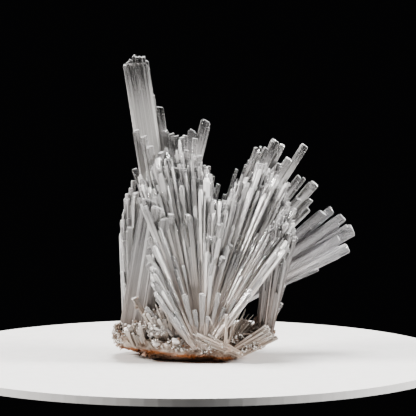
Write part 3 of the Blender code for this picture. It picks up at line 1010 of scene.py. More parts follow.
@dataclass(frozen=True)
class Front:
    """The crystals over a bundle's front, which all begin at one narrow neck."""

    neck: tuple[float, float, float] = (3.0, -13.2, 4.0)
    half: float = 2.4
    edge: tuple[tuple[float, float], ...] = (
        (8, -14.5), (19, -14.7), (30, -12.6), (38, -10.2), (45, -7.6), (50, -5.6), (56, -3.4),
    )
    rim: float = 0.92
    wavy: float = 0.14
    wave: float = 0.55
    uneven: tuple[float, float] = (-0.07, 0.05)
    feet_back: tuple[float, float] = (0.0, 1.2)
    feet_up: tuple[float, float] = (-0.4, 0.8)
    proud: float = 0.12
    proud_by: tuple[float, float] = (0.2, 1.6)
    behind_by: tuple[float, float] = (0.2, 2.4)

    def line(
        self,
        centre: Vector,
        lean: float,
        aside: float,
        reach: float,
        share: float,
        draw: random.Random,
    ) -> tuple[Vector, Vector]:
        """Find a crystal's foot at the neck and its tip on the way to the bundle's edge.

        Most shorter crystals lie a little behind the longer ones, and a few stand proud of them.

        Args:
            centre: The bundle's centre, from which its leans are seen.
            lean: Degrees to the right of upright.
            aside: How far to the right in the bundle it stands, from -1 to 1.
            reach: How far the bundle's edge is from the centre.
            share: How far towards the edge it reaches.
            draw: The source of its small differences.

        Returns:
            The foot and the tip.
        """
        ragged = self.wavy * noise.noise((lean * self.wave, 3.1, 0.0)) + draw.uniform(*self.uneven)
        far = centre + direction(lean, 0.0) * reach * (self.rim + ragged)
        far.y = between(list(self.edge), far.z)
        foot = Vector(self.neck) + Vector((
            aside * self.half, draw.uniform(*self.feet_back), draw.uniform(*self.feet_up),
        ))
        tip = foot.lerp(far, share)
        if draw.random() < self.proud:
            tip.y -= draw.uniform(*self.proud_by)
        else:
            tip.y += draw.uniform(*self.behind_by)
        return foot, tip


@dataclass
class Bundle:
    """A bundle of crystals that spread from one root: large prisms with needles between them."""

    node: str
    slot: str
    finish: CrystalFinish
    centre: Vector
    root: Root
    leans: tuple[float, float]
    tilts: tuple[float, float]
    reach: list[tuple[float, float]]
    prisms: list[Prism]
    needles: int
    widths: tuple[float, float]
    shares: tuple[float, float]
    seed: int
    falloff: float = 2.2
    frontal: float = 0.0
    milky_share: float = 0.4
    clearness: tuple[float, float] = (0.6, 1.0)
    blades: int = 0
    blade_widths: tuple[float, float] = (1.4, 2.6)
    blade_tilts: tuple[float, float] = (15.0, 30.0)
    blade_shares: tuple[float, float] = (0.55, 0.9)
    tall: "TallCrystal | None" = None
    front: Front | None = None
    heart: float = 0.45

    # The oval patch of directions that the needles fill, and how their lengths and widths thin out
    OVAL = (0.5, 1.25)
    LONG = 0.45
    SHORT_IN_FRONT = (0.55, 1.35)
    SLIM = 1.8
    FOOT_SHARE = (0.45, 1.0)
    # The needles' room at the model's box, as a share of the thickest one's width
    ROOM = 0.65
    NEEDLE_FLAT = (0.6, 1.0)
    MILKIER = 0.4
    # The part of the bundle's breadth that the front crystals span, and their form
    BLADE_SPAN = (0.08, 0.84)
    BLADE_EVEN = (0.2, 0.8)
    BLADE_FALLOFF = 1.5
    BLADE_FOOT = 0.97
    BLADE_CLEAR = (0.5, 1.0)
    BLADE_FLAT = (0.3, 0.5)
    BLADE_TURN = 10.0
    BLADE_TAPER = 0.35
    # The heart: its steps of lean and tilt, its foot, and how ragged its top is
    HEART_STEPS = (49, 25)
    HEART_FOOT = 0.9
    HEART_RAGGED = 0.3
    HEART_WAVE = (0.5, 0.4)
    HEART_LOOK = {"from_point": 12.0, "shade": 0.7, "clearness": 0.5}
    # How the streaks on it follow its lean and its tilt
    HEART_STREAKS = (0.5, 0.3)

    def front_blades(self, draw: random.Random) -> list[Prism]:
        """Spread broad, flat crystals over the bundle's front.

        Args:
            draw: The source of their places.

        Returns:
            The crystals.
        """
        found = []
        for i in range(self.blades):
            share = (i + draw.uniform(*self.BLADE_EVEN)) / self.blades
            first, span = self.BLADE_SPAN
            lean = self.leans[0] + (self.leans[1] - self.leans[0]) * (first + span * share)
            tilt = draw.uniform(*self.blade_tilts)
            reach = between(self.reach, lean) * draw.uniform(*self.blade_shares)
            lower = math.cos(math.radians(tilt)) ** self.BLADE_FALLOFF
            tip = self.centre + direction(lean, tilt) * reach * lower
            if self.centre is SPRAY_CENTRE and self.crosses_blades(tip):
                continue
            width = draw.uniform(*self.blade_widths)
            foot = self.root.place(lean, tilt, self.BLADE_FOOT)
            if self.front is not None:
                reach = between(self.reach, lean)
                part = draw.uniform(*self.blade_shares)
                foot, tip = self.front.line(self.centre, lean, 2 * share - 1, reach, part, draw)
            found.append(Prism(
                tuple(tip), tuple(foot), width, draw.uniform(*self.BLADE_FLAT),
                draw.uniform(-self.BLADE_TURN, self.BLADE_TURN), draw.uniform(*self.BLADE_CLEAR),
                columns=2, taper=self.BLADE_TAPER,
            ))
        return found

    def build_prisms(self, shop: Workshop) -> bpy.types.Object:
        """Build the large prisms.

        Args:
            shop: What knows the model's box.

        Returns:
            Their object.
        """
        draw = random.Random(self.seed)
        mesh = CrystalMesh(f"{self.node}_prisms")
        for prism in self.prisms + self.front_blades(draw):
            prism.grow(mesh, draw, shop)
        if self.tall is not None:
            self.tall.add_to(mesh, draw, shop)
        made = mesh.build()
        made.data.materials.append(self.finish.material())
        return made

    def build_heart(self) -> bpy.types.Object:
        """Build the milky, grown-together heart that fills the bundle between its crystals.

        Returns:
            Its object.
        """
        leans = np.linspace(*self.leans, self.HEART_STEPS[0])
        tilts = np.linspace(*self.tilts, self.HEART_STEPS[1])
        by_lean, by_tilt = self.HEART_STREAKS
        by_wave = self.HEART_WAVE
        verts, spots = [], []
        for level in (0.0, 1.0):
            for lean in leans:
                for tilt in tilts:
                    foot = self.root.place(lean, tilt, self.HEART_FOOT)
                    wave = noise.noise((lean * by_wave[0], tilt * by_wave[1], self.seed))
                    ragged = 1.0 + self.HEART_RAGGED * wave
                    reach = between(self.reach, lean) * math.cos(math.radians(tilt)) ** self.falloff
                    far = self.centre + direction(lean, tilt) * reach * self.heart * ragged
                    verts.append(tuple(foot.lerp(far, level) * MM))
                    across = lean * by_lean + tilt * by_tilt
                    spots.append((across, level * reach * self.heart))
        row, layer = len(tilts), len(leans) * len(tilts)
        faces = []
        for i in range(len(leans) - 1):
            for j in range(row - 1):
                a = i * row + j
                faces.append((a, a + 1, a + row + 1, a + row))
                faces.append((layer + a, layer + a + row, layer + a + row + 1, layer + a + 1))
        rim = [(i * row, (i + 1) * row) for i in range(len(leans) - 1)]
        rim += [(layer - row + j, layer - row + j + 1) for j in range(row - 1)]
        rim += [((i + 1) * row + row - 1, i * row + row - 1) for i in range(len(leans) - 2, -1, -1)]
        rim += [(j + 1, j) for j in range(row - 2, -1, -1)]
        faces += [(b, a, layer + a, layer + b) for a, b in rim]
        mesh = bpy.data.meshes.new(f"{self.node}_heart")
        mesh.from_pydata(verts, [], faces)
        corners = [spots[loop.vertex_index] for loop in mesh.loops]
        mapped = mesh.uv_layers.new(name="UVMap")
        mapped.data.foreach_set("uv", np.array(corners, dtype=np.float32).ravel())
        store(mesh, {name: [value] * len(verts) for name, value in self.HEART_LOOK.items()})
        bm = bmesh.new()
        bm.from_mesh(mesh)
        bmesh.ops.recalc_face_normals(bm, faces=bm.faces)
        bm.to_mesh(mesh)
        bm.free()
        mesh.materials.append(self.finish.material())
        return show(mesh.name, mesh)

    def crosses_blades(self, tip: Vector) -> bool:
        """Say whether a tip would stand in front of the broad blades at the left."""
        edge = BLADE_EDGE[0] + BLADE_EDGE[1] * tip.z
        return tip.y < BLADE_BACK and tip.x < edge and tip.z < BLADE_TOP

    def build_needles(self, shop: Workshop) -> bpy.types.Object:
        """Build the needles between the prisms.

        Args:
            shop: The shared growth tree, the unit crystal and the model's box.

        Returns:
            Their object.
        """
        draw = random.Random(self.seed + 100)
        points = NeedlePoints(f"{self.node}_needles")
        middle = sum(self.leans) / 2, sum(self.tilts) / 2
        half = (self.leans[1] - self.leans[0]) / 2, (self.tilts[1] - self.tilts[0]) / 2
        while len(points.feet) < self.needles:
            u, v = draw.uniform(-1, 1), draw.uniform(-1, 1)
            ahead = self.front is not None and draw.random() < self.frontal
            if not ahead and u * u * self.OVAL[0] + v * v > self.OVAL[1]:
                continue
            lean, tilt = middle[0] + half[0] * u, middle[1] + half[1] * v
            reach = between(self.reach, lean) * math.cos(math.radians(tilt)) ** self.falloff
            low, high = self.shares
            reach *= low + (high - low) * draw.random() ** self.LONG
            tip = self.centre + direction(lean, tilt) * reach
            foot = self.root.place(lean, tilt, draw.uniform(*self.FOOT_SHARE))
            if ahead:
                reach = between(self.reach, lean)
                most, power = self.SHORT_IN_FRONT
                part = 1.0 - most * draw.random() ** power
                foot, tip = self.front.line(self.centre, lean, u, reach, part, draw)
            if not shop.holds(tip, self.widths[1] * self.ROOM):
                continue
            if self.centre is SPRAY_CENTRE and self.crosses_blades(tip):
                continue
            thin, thick = self.widths
            width = thin + (thick - thin) * draw.random() ** self.SLIM
            milky = draw.random() < self.milky_share
            low, high = self.clearness
            clear = draw.uniform(low * self.MILKIER, low) if milky else draw.uniform(low, high)
            points.add(
                foot, tip, width, draw.uniform(*self.NEEDLE_FLAT), draw.uniform(0.0, math.pi),
                draw.random(), clear,
            )
        return shop.tree.grow(points.build(), shop.needle, 1.0, self.finish.material())

    def build(self, shop: Workshop) -> list[bpy.types.Object]:
        """Build the bundle, fix its pieces to the body and hide the solid that it replaces.

        Args:
            shop: What the bundles share.

        Returns:
            Its pieces.
        """
        pieces = [self.build_prisms(shop), self.build_needles(shop)]
        if self.heart:
            pieces.append(self.build_heart())
        for piece in pieces:
            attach(piece, BODY)
            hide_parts(self.node)
            log.info("%s: %d faces", piece.name, len(piece.data.polygons))
        return pieces


@dataclass(frozen=True)
class TallCrystal:
    """The one tall, broad crystal: thin columns grown side by side, ragged at the top."""

    foot: tuple[float, float, float] = (-3.9, 2.2, 12.0)
    top: tuple[float, float, float] = (-13.6, 3.7, 76.6)
    slab: tuple[float, float] = (6.7, 3.6)
    columns: tuple[tuple[float, float, float, float], ...] = (
        (-2.75, 1.2, 2.9, 0.0), (-2.0, 1.1, 3.4, 0.8), (-1.1, 1.0, 3.75, 1.2),
        (-0.3, 0.9, 3.8, 2.1), (0.5, 1.1, 3.8, 1.7), (1.4, 1.0, 3.75, 1.6),
        (2.2, 1.0, 3.5, 1.3), (2.9, 0.9, 2.8, 0.3), (3.3, 0.6, 2.0, -9.0),
    )
    ridge: float = 14.0
    clearness: float = 1.0
    shade: float = 0.5
    fading: float = 0.8

    # How steep the slab's end and the columns' ends are, and how uneven the columns stand
    SLAB_END = (0.05, 0.03)
    COLUMN_END = (0.5, 0.08)
    UNEVEN = 0.08
    RIDGE_SHARES = (0.4, 1.4)

    def add_to(self, mesh: CrystalMesh, draw: random.Random, shop: Workshop) -> None:
        """Add its columns to a mesh.

        Args:
            mesh: The mesh that takes them.
            draw: The source of their small differences.
            shop: What knows the model's box.
        """
        foot, top = Vector(self.foot), Vector(self.top)
        along = (top - foot).normalized()
        frame = frame_along(along, 0.0)
        wide, deep = self.slab
        mesh.add(
            foot, top, wide, deep / wide, 0.0, self.shade, self.clearness, self.SLAB_END,
            fading=self.fading,
        )
        steep, level = self.COLUMN_END
        for across, width, depth, rise in self.columns:
            shift = frame @ Vector((across, draw.uniform(-self.UNEVEN, self.UNEVEN), 0.0))
            tip = shop.shorten(foot + shift, top + shift + along * rise, width)
            start = tip - along * self.ridge * draw.uniform(*self.RIDGE_SHARES)
            mesh.add(
                start, tip, width, depth / width, 0.0, self.shade, self.clearness,
                (draw.uniform(-steep, steep), draw.uniform(-level, level)), fading=self.fading,
            )


SPRAY_CENTRE = Vector((0.0, 0.5, 7.5))
SIDE_CENTRE = Vector((1.0, 3.5, 8.0))
CORNER_CENTRE = Vector((20.0, -6.0, 5.5))
LEFT_CENTRE = Vector((-14.8, -3.2, 5.0))
# The broad blades at the left: their right edge as a place and a slope, their top and their back
BLADE_EDGE = (-12.2, 0.11)
BLADE_TOP = 40.0
BLADE_BACK = -2.0
SPRAY_ROOT = Root(2.8, 7.6, 4.4, 8.0, 12.6, 6.4, 2.2, (-38.0, 49.0), 30.0)
SPRAY_REACH = [
    (-38, 14), (-32, 19), (-26, 27), (-22, 36), (-16, 44), (-8, 48), (2, 48), (8, 42), (12.5, 36),
    (15, 36), (19, 45), (27, 50), (34, 48), (42, 42), (50, 36),
]


def tower_prisms() -> list[Prism]:
    """List the large crystals of the tall left half of the spray.

    Returns:
        The prisms.
    """
    c = SPRAY_CENTRE
    start = 5.0
    places = [
        ((-7.4, 3.0, 65.3), 2.2, 8), ((-6.0, 2.5, 59.1), 2.1, 5), ((-4.4, 2.0, 58.4), 1.9, 12),
        ((-3.1, 2.0, 57.8), 1.8, 3), ((-1.6, 1.5, 57.4), 1.5, 22), ((-0.8, 2.6, 57.8), 1.6, 30),
        ((-7.0, -3.0, 53.9), 1.9, 35), ((-5.2, -4.0, 52.4), 1.7, 15), ((-3.4, -5.0, 50.2), 2.0, 4),
        ((-8.1, -4.5, 48.8), 1.5, 50), ((-10.2, -3.0, 45.7), 1.7, 22), ((-5.2, -7.0, 44.4), 1.8, 10),
        ((-2.6, -7.0, 42.8), 1.6, 65), ((-4.4, -9.6, 38.6), 2.1, 18), ((0.0, -9.6, 38.3), 1.7, 40),
        ((1.8, -0.5, 57.3), 1.5, 25), ((-0.3, -1.5, 54.3), 1.4, 44), ((2.9, 0.3, 52.8), 1.9, 15),
        ((1.6, -3.0, 51.8), 1.6, 33), ((4.2, -1.0, 50.3), 1.1, 15), ((3.6, -2.0, 47.3), 1.5, 60),
        ((5.5, 0.2, 49.9), 1.0, 20), ((6.5, 0.4, 47.3), 1.2, 12), ((8.0, 1.2, 45.2), 1.3, 35),
        ((-14.0, 1.4, 49.1), 1.7, 15), ((-12.4, 6.0, 53.0), 2.2, 24), ((-6.0, 9.0, 53.5), 2.4, 52),
        ((-10.0, 11.5, 44.0), 2.0, 12), ((-2.0, 15.0, 46.0), 2.3, 33), ((3.0, 17.0, 40.0), 2.0, 61),
        ((-8.0, 16.0, 36.0), 2.1, 5),
    ]
    leaning = [
        sloping((-13.5, -1.0, 59.5), (-9, 1), 44, 2.0, turn=10),
        sloping((-11.4, -2.0, 58.0), (-9.5, 2), 44, 1.7, turn=20),
        sloping((-9.9, -3.0, 55.5), (-9, 4), 42, 2.2, turn=12),
        # These two rear crystals take the darkest tone, dull and smoky, as painted shade for their dark
        # look behind the spray
        sloping((1.2, 9.0, 58.7), (14, -9), 46, 2.5, turn=12, columns=2, shade=0.0),
        sloping((4.7, 10.5, 61.1), (14, -9), 48, 3.0, turn=16, columns=2, shade=0.0),
    ]
    return leaning + [radial(c, start, tip, width, turn=turn) for tip, width, turn in places]


def fan_prisms() -> list[Prism]:
    """List the large crystals of the right half of the spray.

    Returns:
        The prisms.
    """
    places = [
        ((9.6, -0.4, 42.6), 1.1, 30), ((11.0, 0.2, 43.7), 1.2, 10), ((12.7, -0.5, 49.2), 0.9, 10),
        ((12.7, 0.8, 45.4), 1.1, 50), ((15.3, 0.2, 50.2), 1.2, 25), ((16.1, 1.4, 51.4), 1.1, 5),
        ((17.7, -0.4, 54.9), 0.9, 30), ((19.0, 1.2, 55.0), 0.9, 60), ((18.5, 0.4, 53.6), 1.4, 12),
        ((20.5, 0.8, 54.6), 1.9, 28), ((22.9, 1.6, 56.6), 2.6, 20), ((24.7, 2.6, 55.4), 1.8, 40),
        ((23.9, -1.8, 50.9), 1.8, 14), ((26.3, 1.2, 51.9), 2.0, 33), ((30.6, 3.4, 55.1), 2.3, 22),
        ((29.1, 1.6, 47.2), 1.7, 16), ((30.4, 3.0, 46.5), 1.3, 48), ((33.3, 3.6, 45.2), 2.6, 26),
        ((28.9, 1.6, 41.3), 2.0, 38), ((32.2, 3.0, 41.0), 1.8, 8), ((31.5, 1.8, 38.6), 1.9, 55),
        ((17.4, -5.0, 45.4), 1.6, 18), ((13.2, -6.4, 41.4), 1.7, 42), ((19.6, -4.0, 42.6), 1.8, 27),
        ((9.8, -9.4, 37.0), 1.6, 12), ((13.4, -9.8, 33.2), 1.8, 36), ((6.0, -11.6, 32.8), 1.8, 21),
        ((11.4, -7.4, 41.2), 1.5, 50), ((14.8, -5.6, 44.0), 1.5, 24), ((20.6, -2.6, 48.4), 1.6, 63),
        ((23.4, -1.4, 45.8), 1.7, 12), ((8.0, -11.2, 36.0), 1.6, 33), ((11.2, -10.8, 30.6), 1.7, 7),
        ((25.6, 8.6, 47.4), 2.2, 31), ((18.6, 10.8, 47.4), 2.0, 9), ((13.4, 13.4, 43.0), 2.1, 44),
        ((22.0, 14.4, 38.0), 2.3, 17), ((27.6, 11.0, 36.0), 2.2, 52), ((15.6, -9.4, 29.4), 1.7, 20),
        ((17.0, -8.0, 33.8), 1.8, 47), ((12.6, -11.2, 25.8), 1.6, 9), ((9.2, -12.4, 27.6), 1.7, 34),
    ]
    return [radial(SPRAY_CENTRE, 5.0, tip, width, turn=turn) for tip, width, turn in places]


def side_prisms() -> list[Prism]:
    """List the coarse clear crystals that lean far out to the right.

    Returns:
        The prisms.
    """
    places = [
        ((35.6, 6.4, 37.2), 2.7, 40), ((38.0, 9.2, 37.7), 2.5, 15), ((40.8, 6.2, 36.0), 2.8, 28),
        ((39.3, 9.8, 34.5), 3.0, 8), ((44.6, 7.8, 33.4), 3.4, 36), ((39.5, 5.4, 30.5), 2.4, 20),
        ((42.1, 6.6, 27.8), 3.0, 32), ((34.1, 4.8, 22.3), 1.2, 12), ((36.4, 10.6, 29.0), 2.6, 48),
        ((31.0, 9.0, 22.6), 2.0, 22),
    ]
    return [radial(SIDE_CENTRE, 5.0, tip, width, turn=turn) for tip, width, turn in places]


def corner_prisms() -> list[Prism]:
    """List the larger crystals of the low sheaf at the right.

    Returns:
        The prisms.
    """
    tips = [
        (19.6, -6.0, 31.2), (19.4, -6.4, 25.6), (20.0, -7.4, 35.2), (21.0, -6.4, 37.8),
        (22.2, -7.6, 39.8), (23.8, -6.0, 39.2), (25.4, -6.6, 38.4), (27.0, -5.4, 36.4),
        (27.6, -6.4, 32.4), (26.8, -5.0, 27.4), (20.6, -9.8, 28.8), (22.2, -10.6, 32.0),
        (24.2, -10.0, 34.2), (25.6, -9.0, 30.0), (21.8, -3.8, 32.4), (25.0, -3.4, 31.8),
    ]
    found = [
        radial(CORNER_CENTRE, 1.5, tip, 1.4 + 0.3 * (i % 3), turn=17.0 * i % 90)
        for i, tip in enumerate(tips)
    ]
    found.append(sloping((25.0, -4.6, 19.3), (17, 2), 10, 0.9, turn=20))
    found.append(sloping((24.4, -4.0, 14.5), (28, 2), 7, 1.0, turn=40))
    return found


def left_prisms() -> list[Prism]:
    """List the broad blades and the white crystals of the group at the left.

    Returns:
        The prisms.
    """
    blades = [
        Prism((-9.6, -9.0, 42.3), (-16.0, -6.6, 6.0), 4.6, 0.4, -6, 0.9, 3),
        Prism((-7.6, -9.3, 40.6), (-13.4, -7.2, 6.0), 4.4, 0.45, 4, 0.85, 3),
        Prism((-5.8, -9.6, 37.6), (-11.2, -7.9, 6.0), 3.6, 0.55, 10, 0.8, 3),
    ]
    tips = [
        (-14.8, -1.6, 44.4, 1.4), (-14.2, -0.6, 46.2, 1.3), (-15.6, -2.8, 43.0, 1.5),
        (-16.1, -2.6, 41.8, 1.4), (-16.4, -3.4, 38.3, 1.7), (-16.6, -4.2, 31.0, 1.6),
        (-13.4, -4.6, 43.6, 1.8), (-17.0, -4.6, 23.0, 1.5), (-15.0, -5.4, 34.6, 2.0),
        (-16.2, -0.4, 33.0, 1.7), (-12.8, -2.0, 38.0, 1.8),
    ]
    return blades + [
        radial(LEFT_CENTRE, 2.0, tip[:3], tip[3], turn=23.0 * i % 90, clearness=0.8)
        for i, tip in enumerate(tips)
    ]


@dataclass(frozen=True)
class Sheaf:
    """Slender crystals that lie side by side, spread a little from one end to the other."""

    start: tuple[float, float, float]
    end: tuple[float, float, float]
    start_half: float
    end_half: float
    count: int
    widths: tuple[float, float]
    shares: tuple[float, float] = (0.6, 1.0)
    clearness: tuple[float, float] = (0.1, 0.5)

    # Its depth as a share of its breadth, how its ends scatter, and its crystals' depths
    FLAT = 0.6
    SCATTER = 0.5
    CRYSTAL_FLAT = (0.7, 1.0)

    def add_to(self, points: NeedlePoints, draw: random.Random, shop: Workshop) -> None:
        """Add its crystals to the points that the growth tree reads.

        Args:
            points: The points.
            draw: The source of their places.
            shop: What knows the model's box.
        """
        start, end = Vector(self.start), Vector(self.end)
        frame = frame_along((end - start).normalized(), 0.0)
        for _ in range(self.count):
            u, v = draw.uniform(-1, 1), draw.uniform(-1, 1)
            aside = frame @ Vector((u, v * self.FLAT, 0.0))
            foot, far = start + aside * self.start_half, end + aside * self.end_half
            far += Vector([draw.uniform(-self.SCATTER, self.SCATTER) for _ in range(3)])
            tip = foot.lerp(far, draw.uniform(*self.shares))
            width = draw.uniform(*self.widths)
            tip = shop.shorten(foot, tip, width)
            points.add(
                foot, tip, width, draw.uniform(*self.CRYSTAL_FLAT), draw.uniform(0, math.pi),
                draw.random(), draw.uniform(*self.clearness),
            )


@dataclass
class Crust:
    """The fused base: a rough copy of its solid, crystals that lie on it and fine druse."""

    node: str = "matrix_crust"
    slot: str = "crust"
    voxel: float = 0.42
    rough: tuple[tuple[float, float], ...] = ((0.35, 0.55), (0.9, 0.40), (2.2, 0.16))
    seed: int = 5
    pit: tuple[float, float, float] = (-6.4, -12.2, 7.0)
    pit_radius: float = 2.1
    rim: tuple[tuple[float, float], ...] = (
        (-20, 1.8), (-15, 3.3), (-6, 2.7), (4, 1.5), (12, 0.5), (17, 1.8), (23, 5.4),
    )
    neck: tuple[float, float, float] = (3.6, -10.4, -1.5)
    skirt: tuple[tuple[float, float, float, float], ...] = (
        (-10.8, -13.0, 14.6, 1.7), (-7.9, -13.3, 17.0, 1.8), (-5.6, -13.8, 19.0, 1.9),
        (-2.8, -13.2, 13.4, 1.6), (-1.0, -14.2, 18.2, 2.0), (1.7, -13.4, 14.0, 1.7),
        (3.6, -14.6, 19.0, 2.1), (5.2, -13.4, 12.4, 1.8), (8.0, -14.2, 18.6, 1.9),
        (9.4, -13.2, 14.6, 1.7), (12.2, -13.5, 16.8, 1.6),
    )
    lying: tuple[Prism, ...] = (
        Prism((21.6, -8.0, 6.6), (9.0, -7.0, 6.0), 1.8, 0.85, 25, 0.6, 3),
        Prism((21.0, -6.8, 8.8), (8.6, -5.4, 6.4), 1.6, 0.85, 55, 0.6, 3),
        Prism((20.4, -9.0, 4.6), (9.8, -9.2, 4.2), 1.9, 0.85, 5, 0.6, 3),
        Prism((-14.0, -12.0, 17.0), (-8.4, -9.6, 8.0), 1.5, 0.85, 20, 0.9, 2),
        Prism((-9.2, -13.2, 5.4), (-3.4, -11.0, 4.4), 1.7, 0.85, 40, 0.5, 2),
        Prism((-3.0, -13.8, 6.4), (-3.8, -9.8, 3.4), 2.4, 0.85, 20, 0.3, 2),
        Prism((-18.6, -6.2, 5.2), (-13.0, -5.0, 5.0), 2.0, 0.85, 15, 0.5, 2),
        Prism((9.9, -14.2, 13.0), (9.6, -13.4, 2.6), 0.7, 0.9, 15, 0.2, 1),
    )
    finish: CrustFinish = CrustFinish()
    lying_finish: CrystalFinish = CrystalFinish(
        "lying_crystal", root=(0.38, 0.30, 0.245), dull=(0.32, 0.265, 0.225),
        bright=(0.68, 0.63, 0.58), smoky_and_shaded=(0.36, 0.31, 0.27), point=(0.74, 0.69, 0.65),
        frost=(0.8, 0.77, 0.74), milky=0.2, clear=0.5, clear_zone=4.0, streaked=0.5,
    )
    rising_finish: CrystalFinish = CrystalFinish("rising_crystal")
    druse_finish: CrystalFinish = CrystalFinish(
        "druse_crystal", root=(0.36, 0.28, 0.225), dull=(0.25, 0.21, 0.18),
        bright=(0.56, 0.505, 0.455), smoky_and_shaded=(0.30, 0.25, 0.21), point=(0.64, 0.59, 0.545),
        frost=(0.66, 0.63, 0.60), milky=0.25, clear=0.6, clear_zone=2.5, root_zone=(0.002, 0.014),
    )
    sheaves: tuple[Sheaf, ...] = (
        Sheaf((13.6, -14.1, 2.4), (1.2, -12.6, 7.8), 0.7, 1.7, 60, (0.25, 0.6), (0.45, 1.0), (0.1, 0.5)),
        Sheaf((12.0, -12.4, 2.6), (22.0, -8.6, 7.6), 1.4, 2.2, 150, (0.3, 0.8), (0.5, 1.0), (0.3, 0.9)),
        Sheaf((9.8, -12.6, 4.6), (9.4, -13.2, 13.0), 0.7, 4.2, 26, (0.14, 0.26), (0.4, 1.0), (0.0, 0.2)),
        Sheaf((10.6, -8.0, 4.6), (17.0, -7.0, 13.0), 1.0, 4.0, 34, (0.12, 0.28), (0.4, 1.0), (0.6, 1.0)),
        Sheaf(
            (-12.0, -10.0, 5.0), (-14.5, -12.8, 12.5), 2.6, 3.4, 60, (0.4, 0.9), (0.3, 0.8), (0.1, 0.4)
        ),
        Sheaf((-5.0, -9.6, 4.6), (-9.4, -12.8, 15.5), 1.8, 3.0, 110, (0.4, 1.0), (0.4, 0.9), (0.1, 0.5)),
    )
    clump: tuple[float, float, float] = (-8.0, -11.2, 8.4)
    clump_radius: float = 2.8
    clump_count: int = 260
    druse: int = 2600
    front_block: tuple[tuple[float, float, float], ...] = ((-13.0, -22.0, 6.3), (15.5, -9.0, 30.0))

    # How high the flat spot at the foot is left smooth
    SMOOTH_FOOT = 0.3
    # The rim's waves, as height and fineness, how high it stands, and the pit's soft edge
    RIM_WAVE = (0.5, 0.6)
    RIM_HEIGHT = 0.8
    PIT_EDGE = 0.7
    # Where druse grows: how far a face may look down, how high above the rim, and in which patches
    LOOKS_DOWN = -0.35
    ABOVE_RIM = 1.3
    PATCH_SCALE = 0.30
    PATCH_SHIFT = (9, 0, 0)
    PATCH_LEVELS = (-0.35, 0.25)
    # How a druse crystal stands on its face, how long and wide it is, and its room in the box
    STEADY, WOBBLE, LOWEST = 0.8, 0.9, 0.2
    SUNK, DRUSE_ROOM = 0.3, 0.2
    DRUSE_LENGTHS = (0.3, 1.0)
    LONGER_IN_PATCH = 1.6
    DRUSE_LOOK = {"width": (0.18, 0.46), "flat": (0.6, 1.0), "clear": (0.1, 0.7)}
    # The clump: how far its crystals point back and down, and where they begin and end in it
    CLUMP_BACK, CLUMP_DOWN = 0.4, -0.3
    CLUMP_START, CLUMP_ROOM = 0.6, 0.5
    CLUMP_ENDS = (0.6, 1.0)
    CLUMP_LOOK = {"width": (0.3, 0.8), "flat": (0.5, 0.9), "shade": (0.7, 1.0), "clear": (0.0, 0.3)}

    def stone(self, source: bpy.types.Object) -> bpy.types.Object:
        """Build the rough stone from a copy of the solid.

        Args:
            source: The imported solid.

        Returns:
            The stone's object.
        """
        bm = bmesh.new()
        bm.from_mesh(source.data)
        bmesh.ops.transform(bm, matrix=source.matrix_world, verts=bm.verts)
        bmesh.ops.remove_doubles(bm, verts=bm.verts, dist=1e-7)
        mesh = bpy.data.meshes.new("crust_stone")
        bm.to_mesh(mesh)
        bm.free()
        made = show("crust_stone", mesh)
        cutter = self.front_cutter()
        cut = made.modifiers.new("cut", "BOOLEAN")
        cut.operation = "DIFFERENCE"
        cut.solver = "EXACT"
        cut.object = cutter
        step = made.modifiers.new("remesh", "REMESH")
        step.mode = "VOXEL"
        step.voxel_size = self.voxel * MM
        graph = bpy.context.evaluated_depsgraph_get()
        fine = bpy.data.meshes.new_from_object(made.evaluated_get(graph))
        made.modifiers.clear()
        made.data = fine
        bpy.data.objects.remove(cutter)
        self.roughen(fine)
        self.mark(fine)
        fine.materials.clear()
        fine.materials.append(self.finish.material())
        return made

    def front_cutter(self) -> bpy.types.Object:
        """Make the block that takes the rising crystals off the stone's front.

        Returns:
            The block's object.
        """
        low, high = Vector(self.front_block[0]), Vector(self.front_block[1])
        size = Matrix.Diagonal((*((high - low) * MM), 1.0))
        bm = bmesh.new()
        bmesh.ops.create_cube(
            bm, size=1.0, matrix=Matrix.Translation((low + high) / 2 * MM) @ size
        )
        mesh = bpy.data.meshes.new("front_block")
        bm.to_mesh(mesh)
        bm.free()
        return show("front_block", mesh)

    def roughen(self, mesh: bpy.types.Mesh) -> None:
        """Sink the stone's surface in by layers of noise, but not at its flat spot.

        Args:
            mesh: The stone's mesh.
        """
        for vert in mesh.vertices:
            place = vert.co / MM
            if place.z < self.SMOOTH_FOOT:
                continue
            sunk = 0.0
            for scale, depth in self.rough:
                sunk += depth * (0.5 + noise.noise(place * scale))
            vert.co -= vert.normal * sunk * MM
            vert.co.z = max(vert.co.z, 0.0)

    def mark(self, mesh: bpy.types.Mesh) -> None:
        """Store how high each place is above the stained rim, and where the pit is.

        Args:
            mesh: The stone's mesh.
        """
        above, pitted = [], []
        high, fine = self.RIM_WAVE
        for vert in mesh.vertices:
            place = vert.co / MM
            wave = high * noise.noise(place * fine)
            above.append(place.z - between(list(self.rim), place.x) * self.RIM_HEIGHT + wave)
            distance = (place - Vector(self.pit)).length
            pitted.append(max(0.0, min(1.0, (self.pit_radius - distance) / self.PIT_EDGE)))
        store(mesh, {"above_rim": above, "pit": pitted})

    def crystals(
        self, name: str, prisms: list[Prism], finish: CrystalFinish, shop: Workshop
    ) -> bpy.types.Object:
        """Build single crystals that lie on the crust, lean against it or rise from its front.

        Args:
            name: Their object's name.
            prisms: The crystals.
            finish: Their finish.
            shop: What knows the model's box.

        Returns:
            Their object.
        """
        draw = random.Random(self.seed)
        mesh = CrystalMesh(name)
        for prism in prisms:
            prism.grow(mesh, draw, shop)
        made = mesh.build()
        made.data.materials.append(finish.material())
        return made

    def rising(self) -> list[Prism]:
        """List the crystals that rise from the neck, in front of the spray.

        Returns:
            The prisms.
        """
        return [
            radial(
                Vector(self.neck), 4.0, tip[:3], tip[3] * 0.8, flat=0.5, turn=(7.0 * i) % 24 - 12,
                clearness=0.9, columns=2, taper=0.3, shade=0.35,
            )
            for i, tip in enumerate(self.skirt)
        ]

